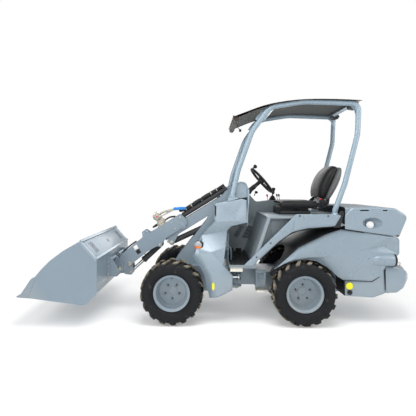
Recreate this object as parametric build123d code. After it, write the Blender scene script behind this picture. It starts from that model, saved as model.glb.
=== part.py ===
from build123d import *
from math import cos, radians, sin, tan
import os

# An articulated compact loader with a telescopic boom. Front toward -X, left side toward -Y, wheels on Z 0.
# The front frame carries the tower, the boom, the driver and the roof. The rear frame swings on the centre pin.

# Wheels
tyre_radius = 295
tyre_width = 267
bead_radius = 152
flange_radius = 170
rim_width = 196
rim_wall = 6
track = 863
wheelbase = 1220
front_axle_x = -488
disc_offset = 6
disc_wall = 8
lug_height = 20
lug_count = 17
lug_sweep = 50
lug_half_width = 18
hub_radius = 62
motor_radius = 78
running_gap = 0.5

axle_z = tyre_radius
rear_axle_x = front_axle_x + wheelbase
wheel_y = track / 2

# Centre pin of the two frames
centre_pin_x = 138
centre_pin_radius = 25
knuckle_radius = 62
knuckle_low = 236
knuckle_high = 470
knuckle_plate = 26

# Front frame
frame_half_width = 190
frame_wall = 14
frame_low = 230
frame_high = 480
tower_inner = 76
tower_wall = 12
tower_boss = 8
boom_pivot_x = 110
boom_pivot_z = 1197
boom_pin_radius = 24

# Boom, measured along its own axis from the pivot, and square to it
boom_slope = 31.8
base_length = 826
base_half_height = 52
base_half_width = 50
base_wall = 7
slider_gap = 5
slider_start = 56
cheek_inner = 56
cheek_wall = 12
cheek_top = 120
cheek_bottom = -16
cheek_rear = 555
lifting_ear_top = 172
telescope_barrel_radius = 28
telescope_rod_radius = 16
telescope_lift = 91
telescope_pin_along = 617
telescope_barrel_start = 20
telescope_rod_start = 54
telescope_barrel_end = 566

# Tilt linkage pins
coupler_pin_x = -1077
coupler_pin_z = 431
lever_pin_x = -976
lever_pin_z = 474
lever_link_x = -1028.5
lever_link_z = 393
coupler_link_x = -1123.5
coupler_link_z = 363.6
lever_rod_x = -963
lever_rod_z = 385
tilt_barrel_x = -652
tilt_barrel_z = 672
tilt_barrel_length = 190
tilt_barrel_radius = 30
tilt_rod_radius = 17
tilt_rod_inside = 246
lever_inner = 40
lever_wall = 10
link_half_width = 34

# Lift cylinder pins
lift_barrel_x = -532
lift_barrel_z = 696
lift_rod_x = 88
lift_rod_z = 985
lift_barrel_radius = 29
lift_barrel_length = 520
lift_rod_radius = 17

# Coupler and bucket
coupler_half_width = 302
coupler_plate = 8
coupler_side_wall = 12
coupler_ear_inner = 70
coupler_ear_wall = 12
bucket_half_width = 635
bucket_wall = 8
slot_groups = ((-400, 230), (0, 120), (400, 230))

# Driver's place
platform_half_width = 430
rail_wall = 30
floor_z = 540
floor_wall = 30
platform_tail_radius = 1057
rear_body_front_radius = 1077
nose_clear_radius = 505
rear_body_half_width = 440
skin = 4
rops_radius = 25
rops_y = 355
console_inner = 330
console_tail_x = 790
deck_z = 1000
grille_patches = ((208, 805), (318, 850))
grille_slots = 6
grille_pitch = 15
deck_wall = 20
tool_box_outer = 330
tyre_clearance = 28
tool_box_length = 100

tool_box_rear = front_axle_x + wheelbase - tyre_radius - tyre_clearance
tool_box_lap = 59
chassis_front_x = tool_box_rear - tool_box_lap
body_nose_x = rear_axle_x - 264
body_shoulder_x = rear_axle_x - 41
body_crown_x = rear_axle_x + 224
arch_tail_x = rear_axle_x + 391
arch_outer = tyre_radius + 35
arch_inner = tyre_radius + 31

# Steering
steering_hub_x = 388
steering_hub_z = 1326
steering_column_x = 273
steering_column_z = 1227
steering_wheel_radius = 155
steer_foot_x = -260
steer_foot_y = -130
steer_lever_x = 25
steer_lever_y = -100
steer_cylinder_z = 353
steer_barrel_length = 285
steer_barrel_radius = 26
steer_rod_radius = 13
steer_lever_wall = 16

# Tail lamps
lamp_radius = 56
lamp_y = 415
lamp_z = 594.5

# Hood
hood_hinge_x = 1640
hood_hinge_z = 836
hinge_inner = 250
hinge_width = 40


# Shapes drawn as a side view, in X and Z, with an optional rounding radius at each corner
def outline(*corners):
    bends = []
    for index, corner in enumerate(corners):
        here = Vector(*corner[:2])
        before = Vector(*corners[index - 1][:2]) - here
        after = Vector(*corners[(index + 1) % len(corners)][:2]) - here
        half_angle = radians(before.get_angle(after)) / 2
        longest = 0.48 * min(before.length, after.length)
        straight = half_angle > radians(89.9)
        reach = 0 if straight or len(corner) < 3 else min(corner[2] / tan(half_angle), longest)
        radius = reach * tan(half_angle)
        inward = before.normalized() + after.normalized()
        middle = here + inward.normalized() * (radius / sin(half_angle) - radius) if reach else here
        bends.append((here + before.normalized() * reach, middle, here + after.normalized() * reach, radius))
    edges = []
    for index, (start, middle, end, radius) in enumerate(bends):
        if radius:
            edges.append(Edge.make_three_point_arc(start, middle, end))
        edges.append(Edge.make_line(end, bends[(index + 1) % len(bends)][0]))
    return Face(Wire(edges))


def plate(corners, y_from, y_to):
    face = Plane.XZ * outline(*corners)
    return Pos(0, y_from, 0) * extrude(face, amount=y_to - y_from, dir=(0, 1, 0))


def block(x_from, x_to, y_from, y_to, z_from, z_to):
    middle = Pos((x_from + x_to) / 2, (y_from + y_to) / 2, (z_from + z_to) / 2)
    return middle * Box(x_to - x_from, y_to - y_from, z_to - z_from)


def rod(start, end, radius):
    direction = Vector(*end) - Vector(*start)
    bottom = (Align.CENTER, Align.CENTER, Align.MIN)
    return Plane(origin=start, z_dir=direction) * Cylinder(radius, direction.length, align=bottom)


def cross_pin(x, z, radius, y_from, y_to):
    return rod((x, y_from, z), (x, y_to, z), radius)


def bent_bar(points, radius, bend):
    path = FilletPolyline(*points, radius=bend)
    return sweep(Plane(origin=path @ 0, z_dir=path % 0) * Circle(radius), path=path)


def left_of(shape):
    return mirror(shape, about=Plane.XZ)


def pair(shape):
    return shape + left_of(shape)


def save(name, *shapes):
    solids = [solid for shape in shapes for solid in shape.solids()]
    result = solids[0] if len(solids) == 1 else Compound(solids)
    export_step(result, f"parts/{name}.step")


# A place on the boom: along is forward from the pivot, above is square to the boom's axis
def on_boom(along, above, radius=0):
    x = boom_pivot_x - along * cos(radians(boom_slope)) - above * sin(radians(boom_slope))
    z = boom_pivot_z - along * sin(radians(boom_slope)) + above * cos(radians(boom_slope))
    return (x, z, radius)


def boom_box(along_from, along_to, above_from, above_to, half_width):
    corners = [(along_from, above_from), (along_to, above_from), (along_to, above_to), (along_from, above_to)]
    return plate([on_boom(*corner) for corner in corners], -half_width, half_width)


# Wheels, drawn for the right side with their outer face toward +Y, then mirrored
def ring(inner, outer, y_from, y_to):
    face = make_face(Polyline((inner, y_from), (outer, y_from), (outer, y_to), (inner, y_to), close=True))
    return revolve(face, Axis.Y)


# A closed solid of flat facets, each a list of corners
def faceted(facets):
    return Solid(Shell([Face(Wire.make_polygon([Vector(*corner) for corner in facet])) for facet in facets]))


def around(radius, angle, y, shift=0):
    turned = angle + shift / tyre_radius
    return (radius * cos(turned), y, radius * sin(turned))


def tyre():
    half = tyre_width / 2
    seat = rim_width / 2 - rim_wall
    pitch = radians(360 / lug_count)
    carcass_radius = tyre_radius - lug_height
    bead = bead_radius / cos(pitch / 2)
    side = [(bead, seat), (flange_radius + 4, seat), (tyre_radius - 66, half), (carcass_radius, half - 30)]
    profile = side + [(radius, -y) for radius, y in reversed(side)]
    facets = []
    for index in range(lug_count):
        first = pitch * (index - 0.5) + radians(90)
        second = first + pitch
        for (radius, y), (next_radius, next_y) in zip(profile, profile[1:] + profile[:1]):
            facets.append([around(radius, first, y), around(next_radius, first, next_y),
                           around(next_radius, second, next_y), around(radius, second, y)])
    return faceted(facets).fuse(*lugs(carcass_radius, half))


# Chevron lugs: each runs from the middle of the tread to the shoulder, where it wraps down the side wall
def lugs(carcass_radius, half):
    root = carcass_radius - 14
    bars = []
    for index in range(lug_count):
        for side, offset in ((-1, 0), (1, 0.5)):
            angle = radians(360 / lug_count * (index + offset) + 90)
            corners = {}
            for edge in (-1, 1):
                reach = edge * lug_half_width
                corners["crown", edge] = around(tyre_radius, angle, -6 * side, reach - lug_sweep / 2)
                corners["root", edge] = around(root, angle, -6 * side, reach - lug_sweep / 2)
                corners["shoulder", edge] = around(tyre_radius - 5, angle, side * (half - 24), reach + lug_sweep / 2)
                corners["wall", edge] = around(tyre_radius - 48, angle, side * half, reach + lug_sweep / 2 + 8)
            strips = [("crown", "shoulder"), ("shoulder", "wall"), ("wall", "root"), ("root", "crown")]
            facets = []
            for start, end in strips:
                facets.append([corners[start, -1], corners[start, 1], corners[end, 1]])
                facets.append([corners[start, -1], corners[end, 1], corners[end, -1]])
            for edge in (-1, 1):
                facets.append([corners["crown", edge], corners["shoulder", edge], corners["wall", edge]])
                facets.append([corners["crown", edge], corners["wall", edge], corners["root", edge]])
            bars.append(faceted(facets))
    return bars


def rim():
    half = rim_width / 2
    barrel = ring(bead_radius - rim_wall, bead_radius, -half, half)
    flanges = [ring(bead_radius - 1, flange_radius, y - rim_wall, y) for y in (half, rim_wall - half)]
    disc = ring(hub_radius - 22, bead_radius - 2, disc_offset - disc_wall, disc_offset)
    hub = ring(0, hub_radius, -60, disc_offset - disc_wall)
    cap = ring(0, hub_radius - 22, disc_offset - disc_wall - 1, disc_offset + 16)
    wheel = barrel + flanges[0] + flanges[1] + disc + hub + cap
    for index in range(5):
        angle = radians(90 + 72 * index)
        place = (110 * cos(angle), 110 * sin(angle))
        wheel -= rod((place[0], -40, place[1]), (place[0], 40, place[1]), 12)
    return wheel


right_wheel = {"tyre": tyre(), "rim": rim()}
for end, x in (("front", front_axle_x), ("rear", rear_axle_x)):
    for side, sign in (("left", -1), ("right", 1)):
        turn = Pos(x, sign * wheel_y, axle_z)
        for name, shape in right_wheel.items():
            placed = shape if sign > 0 else left_of(shape)
            save(f"{end}_{side}_{name}", turn * placed)


# Axles: a cross beam with a drive motor at each end, just short of the turning hub
def axle(x):
    beam = block(x - 55, x + 55, -frame_half_width, frame_half_width, axle_z - 55, axle_z + 55)
    hub_face = wheel_y - 60 - running_gap
    motor = rod((x, frame_half_width, axle_z), (x, hub_face, axle_z), motor_radius)
    return beam + pair(motor)


# Front frame
def front_chassis():
    side = [
        (-650, 400, 30),
        (-672, 320, 50),
        (-630, frame_low, 40),
        (40, frame_low, 20),
        (62, frame_low + 60, 20),
        (62, frame_high, 10),
        (-530, frame_high, 30),
    ]
    outer = plate(side, -frame_half_width, frame_half_width)
    inner_width = frame_half_width - frame_wall
    hollow = block(-700, 50, -inner_width, inner_width, frame_low + frame_wall, frame_high - frame_wall)
    nose = plate(side, -inner_width, inner_width) & block(-700, -600, -inner_width, inner_width, 200, 500)
    body = outer - hollow + nose
    beam = block(front_axle_x - 55, front_axle_x + 55, -300, 300, axle_z - 55, axle_z + 55)
    body -= beam
    body -= block(30, 80, -inner_width, -knuckle_radius - 4, 300, 410)
    for middle in (steer_cylinder_z - 34, steer_cylinder_z + 34):
        body += block(steer_foot_x - 40, steer_foot_x + 24, -frame_half_width + 2, steer_foot_y + 24, middle - 6, middle + 6)
    for low in (knuckle_low, knuckle_high - knuckle_plate):
        web = block(40, centre_pin_x, -knuckle_radius, knuckle_radius, low, low + knuckle_plate)
        web += Pos(centre_pin_x, 0, low + knuckle_plate / 2) * Cylinder(knuckle_radius, knuckle_plate)
        body += web
    body += rod((centre_pin_x, 0, knuckle_low - 10), (centre_pin_x, 0, knuckle_high + 10), centre_pin_radius)
    return body


def boom_tower():
    corners = [
        (-500, frame_high, 0),
        (-480, 543, 60),
        (-297, 773, 200),
        (-162, 941, 200),
        (-114, 1060, 100),
        (40, 1250, 60),
        (170, 1250, 60),
        (200, 1160, 60),
        (142, 960, 120),
        (30, 820, 0),
        (0, 700, 100),
        (-20, frame_high, 0),
    ]
    side = plate(corners, tower_inner, tower_inner + tower_wall)
    outer = tower_inner + tower_wall
    rod_boss = cross_pin(lift_rod_x, lift_rod_z, 34, outer, outer + tower_boss)
    pivot_boss = cross_pin(boom_pivot_x, boom_pivot_z, 44, outer, outer + tower_boss)
    pivot_pin = cross_pin(boom_pivot_x, boom_pivot_z, boom_pin_radius, -tower_inner - 2, tower_inner + 2)
    tie = block(20, 32, -tower_inner - 1, tower_inner + 1, 700, 815)
    foot = block(-400, -20, -tower_inner, tower_inner, frame_high, frame_high + 12)
    return pair(side + rod_boss + pivot_boss) + pivot_pin + tie + foot


# Fenders: a moulded skin from the lamp housing at the top to the flap behind the front wheel
nacelle = [
    (-90, 990, 20),
    (-86, 1108, 25),
    (81, 1151, 20),
    (230, 1182, 12),
    (222, 1040, 30),
    (214, 915, 10),
    (122, 880, 40),
    (30, 832, 30),
    (-190, 806, 10),
]
fender_waist = [
    (-180, 812, 10),
    (44, 856, 10),
    (38, 640, 60),
    (-9, 554, 10),
    (-60, 640, 40),
    (-230, 700, 10),
]
fender_flap = [
    (-287, 660, 10),
    (-287, 625, 10),
    (-185, 466, 160),
    (-151, 297, 120),
    (-140, 236, 6),
    (73, 316, 14),
    (77, 452, 20),
    (-9, 556, 20),
    (-60, 700, 40),
    (-230, 740, 40),
]


def fender():
    outer_y = 415
    flap_y = 478
    inner_y = tower_inner + tower_wall + tower_boss + 0.3
    lamp_housing = plate(nacelle, inner_y, outer_y)
    lamp_housing -= plate([(-60, 1000, 10), (-60, 1080, 10), (60, 1120, 20), (190, 1140, 10),
                           (190, 930, 10), (20, 850, 10)], inner_y + skin, outer_y - skin)
    lamp_housing -= block(-120, -74, 200, 390, 998, 1092)
    waist = plate(fender_waist, outer_y - 40, outer_y - 40 + skin)
    flap = plate(fender_flap, flap_y - skin, flap_y)
    arch_outer = [(-287, 660), (-287, 625), (-185, 466, 160), (-151, 297, 120), (-140, 236), (-134, 239),
                  (-145, 297, 120), (-179, 468, 160), (-281, 627), (-281, 660)]
    arch = plate(arch_outer, 260, flap_y)
    shelf = plate([(-230, 740), (-60, 700), (-64, 694), (-230, 733)], 330, flap_y)
    return lamp_housing + waist + flap + arch + shelf


def head_lamp():
    lens = block(-86, -74.3, 206, 384, 1004, 1086)
    return fillet(lens.edges().filter_by(Axis.X), 30)


def marker_lamp():
    base = rod((-250, 340, 722), (-230.3, 340, 722), 40)
    return rod((-282, 340, 722), (-250, 340, 722), 33) + base


# Driver's place
strip = [
    (178, 536, 8),
    (610, 962, 60),
    (668, 1021, 50),
    (1002, 1022, 30),
    (1086, 1013, 12),
    (1024, 912, 20),
    (773, 892, 90),
    (633, 857, 60),
    (509, 767, 80),
    (332, 606, 30),
    (262, 536, 8),
]


def side_strip():
    return plate(strip, platform_half_width, platform_half_width + rail_wall)


def tail_cutter(radius, low, high):
    return Pos(centre_pin_x, 0, (low + high) / 2) * Cylinder(radius, high - low)


def platform():
    half = platform_half_width
    wall_half = console_inner - 0.3
    top = [(262, 566), (332, 640), (509, 800), (633, 892), (773, 925), (1200, 940)]
    under = [(1200, 912), (773, 897), (633, 862), (509, 772), (332, 611), (290, floor_z - 2), (262, floor_z - 2)]
    riser = plate(top + under, -half, half)
    riser &= tail_cutter(platform_tail_radius, 0, 2000)
    pan = block(45, 300, -half, half, floor_z - floor_wall, floor_z)
    deck = block(400, console_tail_x, -half, wall_half, deck_z - deck_wall, deck_z)
    deck += block(console_tail_x, 1200, -half, half, deck_z - deck_wall, deck_z)
    deck &= tail_cutter(platform_tail_radius, 0, 2000)
    wall = plate([(262, 566), (300, 566), (436, 985), (406, 985)], -half, wall_half)
    post = block(console_tail_x, console_tail_x + 20, -half, half, 920, deck_z - 1)
    return pan + riser + deck + wall + post


def console():
    corners = [
        (47, floor_z + 0.3, 0),
        (47, 824, 0),
        (150, 870, 60),
        (236.3, 908, 0),
        (236.3, 1215, 0),
        (300, 1215, 30),
        (395, 1108, 60),
        (560, 1128, 100),
        (740, 1119, 30),
        (console_tail_x - 0.3, 1010, 0),
        (console_tail_x - 0.3, 928, 0),
        (773, 926, 0),
        (633, 893, 0),
        (509, 801, 0),
        (332, 641, 0),
        (262, 567, 0),
        (236, floor_z + 0.3, 0),
    ]
    body = plate(corners, console_inner, platform_half_width - 0.3)
    for patch_x, patch_z in grille_patches:
        for index in range(grille_slots):
            x = patch_x + grille_pitch * index
            z = patch_z + 0.62 * grille_pitch * index
            slot = [(x, z, 0), (x + 8, z + 5, 0), (x - 38, z + 62, 0), (x - 46, z + 57, 0)]
            body -= plate(slot, console_inner - 1, console_inner + 12)
    return body


def cowl():
    half = console_inner - 5
    shell = [(118, 1159.6, 0), (118, 1300, 60), (160, 1328, 50), (215, 1320, 40), (236, 1250, 60), (236, 1184, 0)]
    hollow = [(122, 1150, 0), (122, 1298, 56), (162, 1324, 46), (213, 1316, 36), (232, 1249, 56), (232, 1150, 0)]
    hood = plate(shell, -half, half) - plate(hollow, skin - half, half - skin)
    slot = tower_inner + tower_wall + tower_boss + 2
    hood -= block(100, 219, -slot, slot, 1100, 1400)
    front_wall = block(231, 236, -half, half, floor_z + 0.3, 1200)
    toe_wall = block(41, 46, -half, half, floor_z + 0.3, 826)
    toe_roof = plate([(41, 824), (46, 824), (110, 888), (232, 900), (232, 905), (108, 893)],
                     -tower_inner - tower_wall - tower_boss, tower_inner + tower_wall + tower_boss)
    opening = block(225, 240, -half - 1, half + 1, 500, 895)
    axis = column_axis()
    boss = rod(column_foot() - axis * 30, column_foot(), 30) & block(229, 300, -50, 50, 1100, 1300)
    return hood + front_wall - opening + toe_wall + toe_roof + boss


def column_axis():
    return Vector(steering_hub_x - steering_column_x, 0, steering_hub_z - steering_column_z).normalized()


def column_foot():
    return Vector(steering_column_x, 0, steering_column_z) - column_axis() * 12


def step_treads():
    front = block(46, 166, -500, -platform_half_width - 0.3, 500, 518)
    front += cross_pin(46, 509, 9, -500, -platform_half_width - 0.3)
    return front


def rear_step():
    rear = tool_box_rear - 4
    outer = block(rear - 103, rear, -420, -tool_box_outer - 0.3, 284, 300)
    return outer + block(rear - 103, rear, -tool_box_outer - 0.3, -300, 284, 299.7)


def control_levers():
    stick = rod((592, 380, 1126), (592, 380, 1176), 24)
    stick += rod((592, 380, 1170), (600, 380, 1236), 8) + Pos(601, 380, 1246) * Sphere(18)
    red = rod((536, 360, 1124), (530, 360, 1176), 5) + Pos(530, 360, 1180) * Sphere(9)
    return (stick + red) - console()


def pedals():
    pad = Pos(86, -130, 600) * Rot(0, -30, 0) * Box(10, 80, 110)
    arm = rod((46.3, -130, 640), (66, -130, 640), 8)
    return pad + arm


def rops():
    left = [
        (79, -rops_y, 1176),
        (84, -rops_y, 1206),
        (136, -rops_y, 1435),
        (270, -rops_y, 1810),
        (440, -rops_y, 2042),
        (760, -rops_y, 2092),
        (1281, -rops_y, 2071),
        (1268, -rops_y, 1774),
        (1150, -rops_y, 1306),
        (1056, -rops_y, 1050),
        (1056, -rops_y, deck_z + 10),
    ]
    hoop = bent_bar(left, rops_radius, [60, 400, 300, 150, 500, 70, 300, 300, 40])
    hoop += block(1016, 1096, -rops_y - 40, -rops_y + 40, deck_z + 0.3, deck_z + 10.5)
    hoop += plate([(40, 1141.6), (81, 1152), (130, 1162), (130, 1176.5), (40, 1176.5)], -rops_y - 35, -rops_y + 28)
    cross = [rod((x, -rops_y, z), (x, rops_y, z), rops_radius - 5) for x, z in ((480, 2052), (1240, 2073))]
    return hoop + left_of(hoop) + cross[0] + cross[1]


def canopy():
    over = [
        (90, 1958, 10),
        (250, 2020, 60),
        (450, 2082, 200),
        (760, 2126, 500),
        (1300, 2106, 20),
        (1300, 2097, 8),
        (760, 2117, 500),
        (452, 2073, 200),
        (252, 2011, 60),
        (94, 1949, 6),
    ]
    return plate(over, -400, 400)


def curtain_roll():
    return cross_pin(120, 1928.8, 28, -385, 385)


def seat():
    base = block(560, 860, -150, 150, deck_z + 0.3, 1060)
    cushion = plate([(560, 1060.3, 20), (540, 1140, 40), (903, 1110, 12), (903, 1060.3, 10)], -230, 230)
    back = plate([(903.4, 1064, 4), (903.4, 1150, 60), (960, 1440, 90), (1060, 1440, 60), (1030, 1300, 100),
                  (965, 1064, 20)], -215, 215)
    return base, cushion, back


def steering_wheel():
    axis = Vector(steering_hub_x - steering_column_x, 0, steering_hub_z - steering_column_z).normalized()
    hub = Vector(steering_hub_x, 0, steering_hub_z)
    centre = hub + axis * 30
    wheel_plane = Plane(origin=centre, z_dir=axis)
    rim_ring = wheel_plane * Torus(steering_wheel_radius, 14)
    boss = rod(hub, hub + axis * 44, 32)
    wheel = rim_ring + boss
    for angle in (90, 210, 330):
        spoke_end = wheel_plane * Pos(steering_wheel_radius * cos(radians(angle)),
                                      steering_wheel_radius * sin(radians(angle)), 0)
        wheel += rod(hub + axis * 24, spoke_end.position, 9)
    return wheel


# Rear frame
def rear_chassis():
    box_half = frame_half_width
    tongue_low = knuckle_low + knuckle_plate + running_gap
    tongue_high = knuckle_high - knuckle_plate - running_gap
    boss = rod((centre_pin_x, 0, tongue_low), (centre_pin_x, 0, tongue_high), knuckle_radius - 4)
    tongue = block(centre_pin_x, chassis_front_x + 2, -50, 50, tongue_low, tongue_high)
    body = block(chassis_front_x, 1500, -box_half, box_half, 236, 430)
    body -= block(chassis_front_x + frame_wall, 1490, -box_half + frame_wall, box_half - frame_wall, 250, 416)
    body += tongue + boss
    body -= block(rear_axle_x - 55, rear_axle_x + 55, -300, 300, axle_z - 55, axle_z + 55)
    lever_end = (centre_pin_x + steer_lever_x, steer_lever_y)
    half_wall = steer_lever_wall / 2
    for middle in (steer_cylinder_z - 26, steer_cylinder_z + 26):
        lever = Pos(lever_end[0], lever_end[1], middle) * Cylinder(24, steer_lever_wall)
        lever += block(lever_end[0] - 24, lever_end[0] + 24, lever_end[1], 0, middle - half_wall, middle + half_wall)
        body += lever
    body -= rod((centre_pin_x, 0, 0), (centre_pin_x, 0, 600), centre_pin_radius + 0.3)
    return body


def rear_body():
    side = [
        (body_nose_x, 500, 20),
        (body_shoulder_x, 712, 80),
        (body_crown_x, 840, 120),
        (1088, 884, 20),
        (1608, 806, 10),
        (1625, 790, 10),
        (1623, 653, 60),
        (1500, 546, 0),
        (1490, 280, 20),
        (arch_tail_x, 269, 10),
        (arch_tail_x, 402, 20),
        (arch_tail_x - 113, 460, 10),
        (body_nose_x, 460, 10),
    ]
    body = plate(side, -rear_body_half_width, rear_body_half_width)
    inside = [
        (body_nose_x + 22, 430),
        (body_nose_x + 22, 500),
        (body_shoulder_x + 9, 700),
        (body_crown_x + 4, 828),
        (1090, 872),
        (1700, 770),
        (1700, 660),
        (1600, 640),
        (1486, 540),
        (1478, 200),
        (arch_tail_x + skin, 200),
    ]
    body -= plate(inside, -rear_body_half_width + skin, rear_body_half_width - skin)
    body -= block(1100, 1520, -frame_half_width - 5, frame_half_width + 5, 200, 436)
    wheel_room = pair(rod((rear_axle_x, 280, axle_z), (rear_axle_x, 460, axle_z), arch_inner))
    arch = pair(rod((rear_axle_x, 284, axle_z), (rear_axle_x, rear_body_half_width - skin, axle_z), arch_outer))
    arch &= block(body_nose_x - 68, arch_tail_x, -500, 500, 440, 900)
    leaf = plate([(1600, 800), (1622, 780), (1650, 830), (1634, 845)], hinge_inner, hinge_inner + hinge_width)
    leaf += cross_pin(hood_hinge_x, hood_hinge_z, 9, hinge_inner, hinge_inner + hinge_width)
    leaf += cross_pin(hood_hinge_x, hood_hinge_z, 4, hinge_inner, hinge_inner + hinge_width + 0.2)
    swing_room = tail_cutter(nose_clear_radius, 504, 660)
    lamp_room = rod((1400, lamp_y, lamp_z), (1700, lamp_y, lamp_z), lamp_radius + 0.4)
    return body + arch - wheel_room - swing_room + pair(leaf) - pair(lamp_room)


def hood():
    side = [
        (1092, 884.8, 0),
        (1110, 1000, 30),
        (1184, 1080, 50),
        (1400, 1086, 100),
        (1587, 1078, 60),
        (1700, 1004, 60),
        (1628, 826, 30),
        (1610, 807, 0),
    ]
    outer = plate(side, -rear_body_half_width, rear_body_half_width)
    inside = [
        (1080, 880),
        (1118, 998, 30),
        (1188, 1074, 50),
        (1400, 1080, 100),
        (1585, 1072, 60),
        (1690, 1000, 60),
        (1600, 800),
    ]
    outer -= plate(inside, -rear_body_half_width + skin, rear_body_half_width - skin)
    outer -= tail_cutter(rear_body_front_radius, 0, 2000)
    outer -= pair(block(1590, 1662, hinge_inner - 3, hinge_inner + hinge_width + 3, 790, 862))
    knuckle = cross_pin(hood_hinge_x, hood_hinge_z, 9, hinge_inner + hinge_width + 0.5, hinge_inner + 2 * hinge_width)
    return outer + pair(knuckle)


def counterweight():
    plan = [
        (1500.3, -430, 0),
        (1640, -430, 60),
        (1790, -260, 120),
        (1812, 0, 300),
        (1790, 260, 120),
        (1640, 430, 60),
        (1500.3, 430, 0),
    ]
    mass = Pos(0, 0, 280) * extrude(outline(*plan), amount=258, dir=(0, 0, 1))
    hitch_plan = [(1780, -60, 0), (1850, -50, 0), (1877.5, -20, 18), (1877.5, 20, 18), (1850, 50, 0), (1780, 60, 0)]
    tongue = Pos(0, 0, 360) * extrude(outline(*hitch_plan), amount=20, dir=(0, 0, 1))
    upper = Pos(0, 0, 420) * extrude(outline(*hitch_plan), amount=20, dir=(0, 0, 1))
    mass = mass + tongue + upper
    return mass - rod((1845, 0, 200), (1845, 0, 600), 13)


def rear_lamp():
    return rod((1461, lamp_y, lamp_z), (1599, lamp_y, lamp_z), lamp_radius)


def tool_box():
    return block(tool_box_rear - tool_box_length, tool_box_rear, -tool_box_outer, -frame_half_width - 0.3, 300, 480)


# Boom
def boom_base():
    outer = boom_box(-60, base_length, -base_half_height, base_half_height, base_half_width)
    bore_height = base_half_height - base_wall
    inner = boom_box(50, base_length + 10, -bore_height, bore_height, base_half_width - base_wall)
    boss = cross_pin(boom_pivot_x, boom_pivot_z, 46, -tower_inner + 1, tower_inner - 1)
    bracket = plate([on_boom(700, -base_half_height + 2), on_boom(855, -base_half_height + 2, 10),
                     (lift_barrel_x - 34, lift_barrel_z - 6, 30), (lift_barrel_x + 4, lift_barrel_z - 40, 30)], 38, 50)
    pin = cross_pin(lift_barrel_x, lift_barrel_z, 16, -40, 40)
    base = outer - inner + boss + pair(bracket) + pin
    mount = plate([on_boom(-40, base_half_height - 1), on_boom(50, base_half_height - 1),
                   on_boom(42, 104, 20), on_boom(-18, 104, 20)], -18, 18)
    bore = cross_pin(boom_pivot_x, boom_pivot_z, boom_pin_radius + 0.3, -100, 100)
    return base + mount - bore


def telescope_barrel():
    start = on_boom(telescope_barrel_start, telescope_lift)
    end = on_boom(telescope_barrel_end, telescope_lift)
    inside = on_boom(telescope_barrel_start + 15, telescope_lift)
    outer = rod((start[0], 0, start[1]), (end[0], 0, end[1]), telescope_barrel_radius)
    barrel = outer - rod((inside[0], 0, inside[1]), (end[0], 0, end[1]), telescope_rod_radius + 4)
    guide_from = on_boom(telescope_barrel_end - 20, telescope_lift)
    guide = rod((guide_from[0], 0, guide_from[1]), (end[0], 0, end[1]), telescope_rod_radius + 4)
    guide -= rod((guide_from[0], 0, guide_from[1]), (end[0], 0, end[1]), telescope_rod_radius + 0.3)
    mount = plate([on_boom(-40, base_half_height - 1), on_boom(50, base_half_height - 1),
                   on_boom(42, 104, 20), on_boom(-18, 104, 20)], -18, 18)
    foot = boom_box(120, 160, base_half_height, telescope_lift - 20, 22)
    return barrel + guide + foot - mount


def boom_head():
    cheek = plate([on_boom(cheek_rear, cheek_bottom, 50), on_boom(cheek_rear, cheek_top, 60),
                   on_boom(955, cheek_top, 20), on_boom(980, lifting_ear_top, 18), on_boom(1016, lifting_ear_top, 18),
                   on_boom(1040, cheek_top, 20), on_boom(1317, 87, 20), on_boom(1375, 55, 30),
                   on_boom(1458, 16, 45), on_boom(1450, -70, 45), on_boom(1385, -72, 20),
                   on_boom(1063, -34, 80), on_boom(954, -40, 30), on_boom(925, -85, 30), on_boom(895, -40, 30),
                   on_boom(823, cheek_bottom, 40)], cheek_inner, cheek_inner + cheek_wall)
    slider_height = base_half_height - base_wall - slider_gap
    slider_width = base_half_width - base_wall - slider_gap
    slider = boom_box(slider_start, 850, -slider_height, slider_height, slider_width)
    slider -= boom_box(slider_start - 10, 836, 6 - slider_height, slider_height - 6, slider_width - 6)
    bulkhead = boom_box(836, 850, -slider_height, cheek_top - 8, cheek_inner + 1)
    roof = boom_box(850, 1040, cheek_top - 10, cheek_top - 2, cheek_inner + 1)
    nose_roof = plate([on_boom(1040, cheek_top - 2), on_boom(1317, 82), on_boom(1317, 74), on_boom(1040, cheek_top - 10)],
                      -cheek_inner - 1, cheek_inner + 1)
    rear_pin = on_boom(telescope_pin_along, telescope_lift)
    telescope_pin = cross_pin(rear_pin[0], rear_pin[1], 12, -cheek_inner - 1, cheek_inner + 1)
    tilt_pin = cross_pin(tilt_barrel_x, tilt_barrel_z, 14, -cheek_inner - 1, cheek_inner + 1)
    lever_pin = cross_pin(lever_pin_x, lever_pin_z, 14, -cheek_inner - 1, cheek_inner + 1)
    head = pair(cheek) + slider + bulkhead + roof + nose_roof + telescope_pin + tilt_pin + lever_pin
    ear_x, ear_z, unused = on_boom(998, 146)
    ear_hole = cross_pin(ear_x, ear_z, 10, -cheek_inner - 20, cheek_inner + 20)
    return head - cross_pin(coupler_pin_x, coupler_pin_z, 16.3, -200, 200) - ear_hole


def telescope_rod():
    start = on_boom(telescope_rod_start, telescope_lift)
    end = on_boom(telescope_pin_along, telescope_lift)
    shaft = rod((start[0], 0, start[1]), (end[0], 0, end[1]), telescope_rod_radius)
    eye = cross_pin(end[0], end[1], 24, -22, 22)
    return shaft + eye - cross_pin(end[0], end[1], 12, -60, 60)


def boom_hoses():
    hoses = Part()
    for across, rise in ((-27, -2.7), (-9, 7.9), (9, 7.9), (27, -2.7)):
        route = [(34, 0), (140, 4), (300, 0), (430, 6), (540, 2)]
        above = telescope_lift + telescope_barrel_radius + rise
        points = []
        for along, lift in route:
            x, z, unused = on_boom(along, above + lift)
            points.append((x, across, z))
        hoses += bent_bar(points, 8.5, 150)
    return hoses


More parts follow.
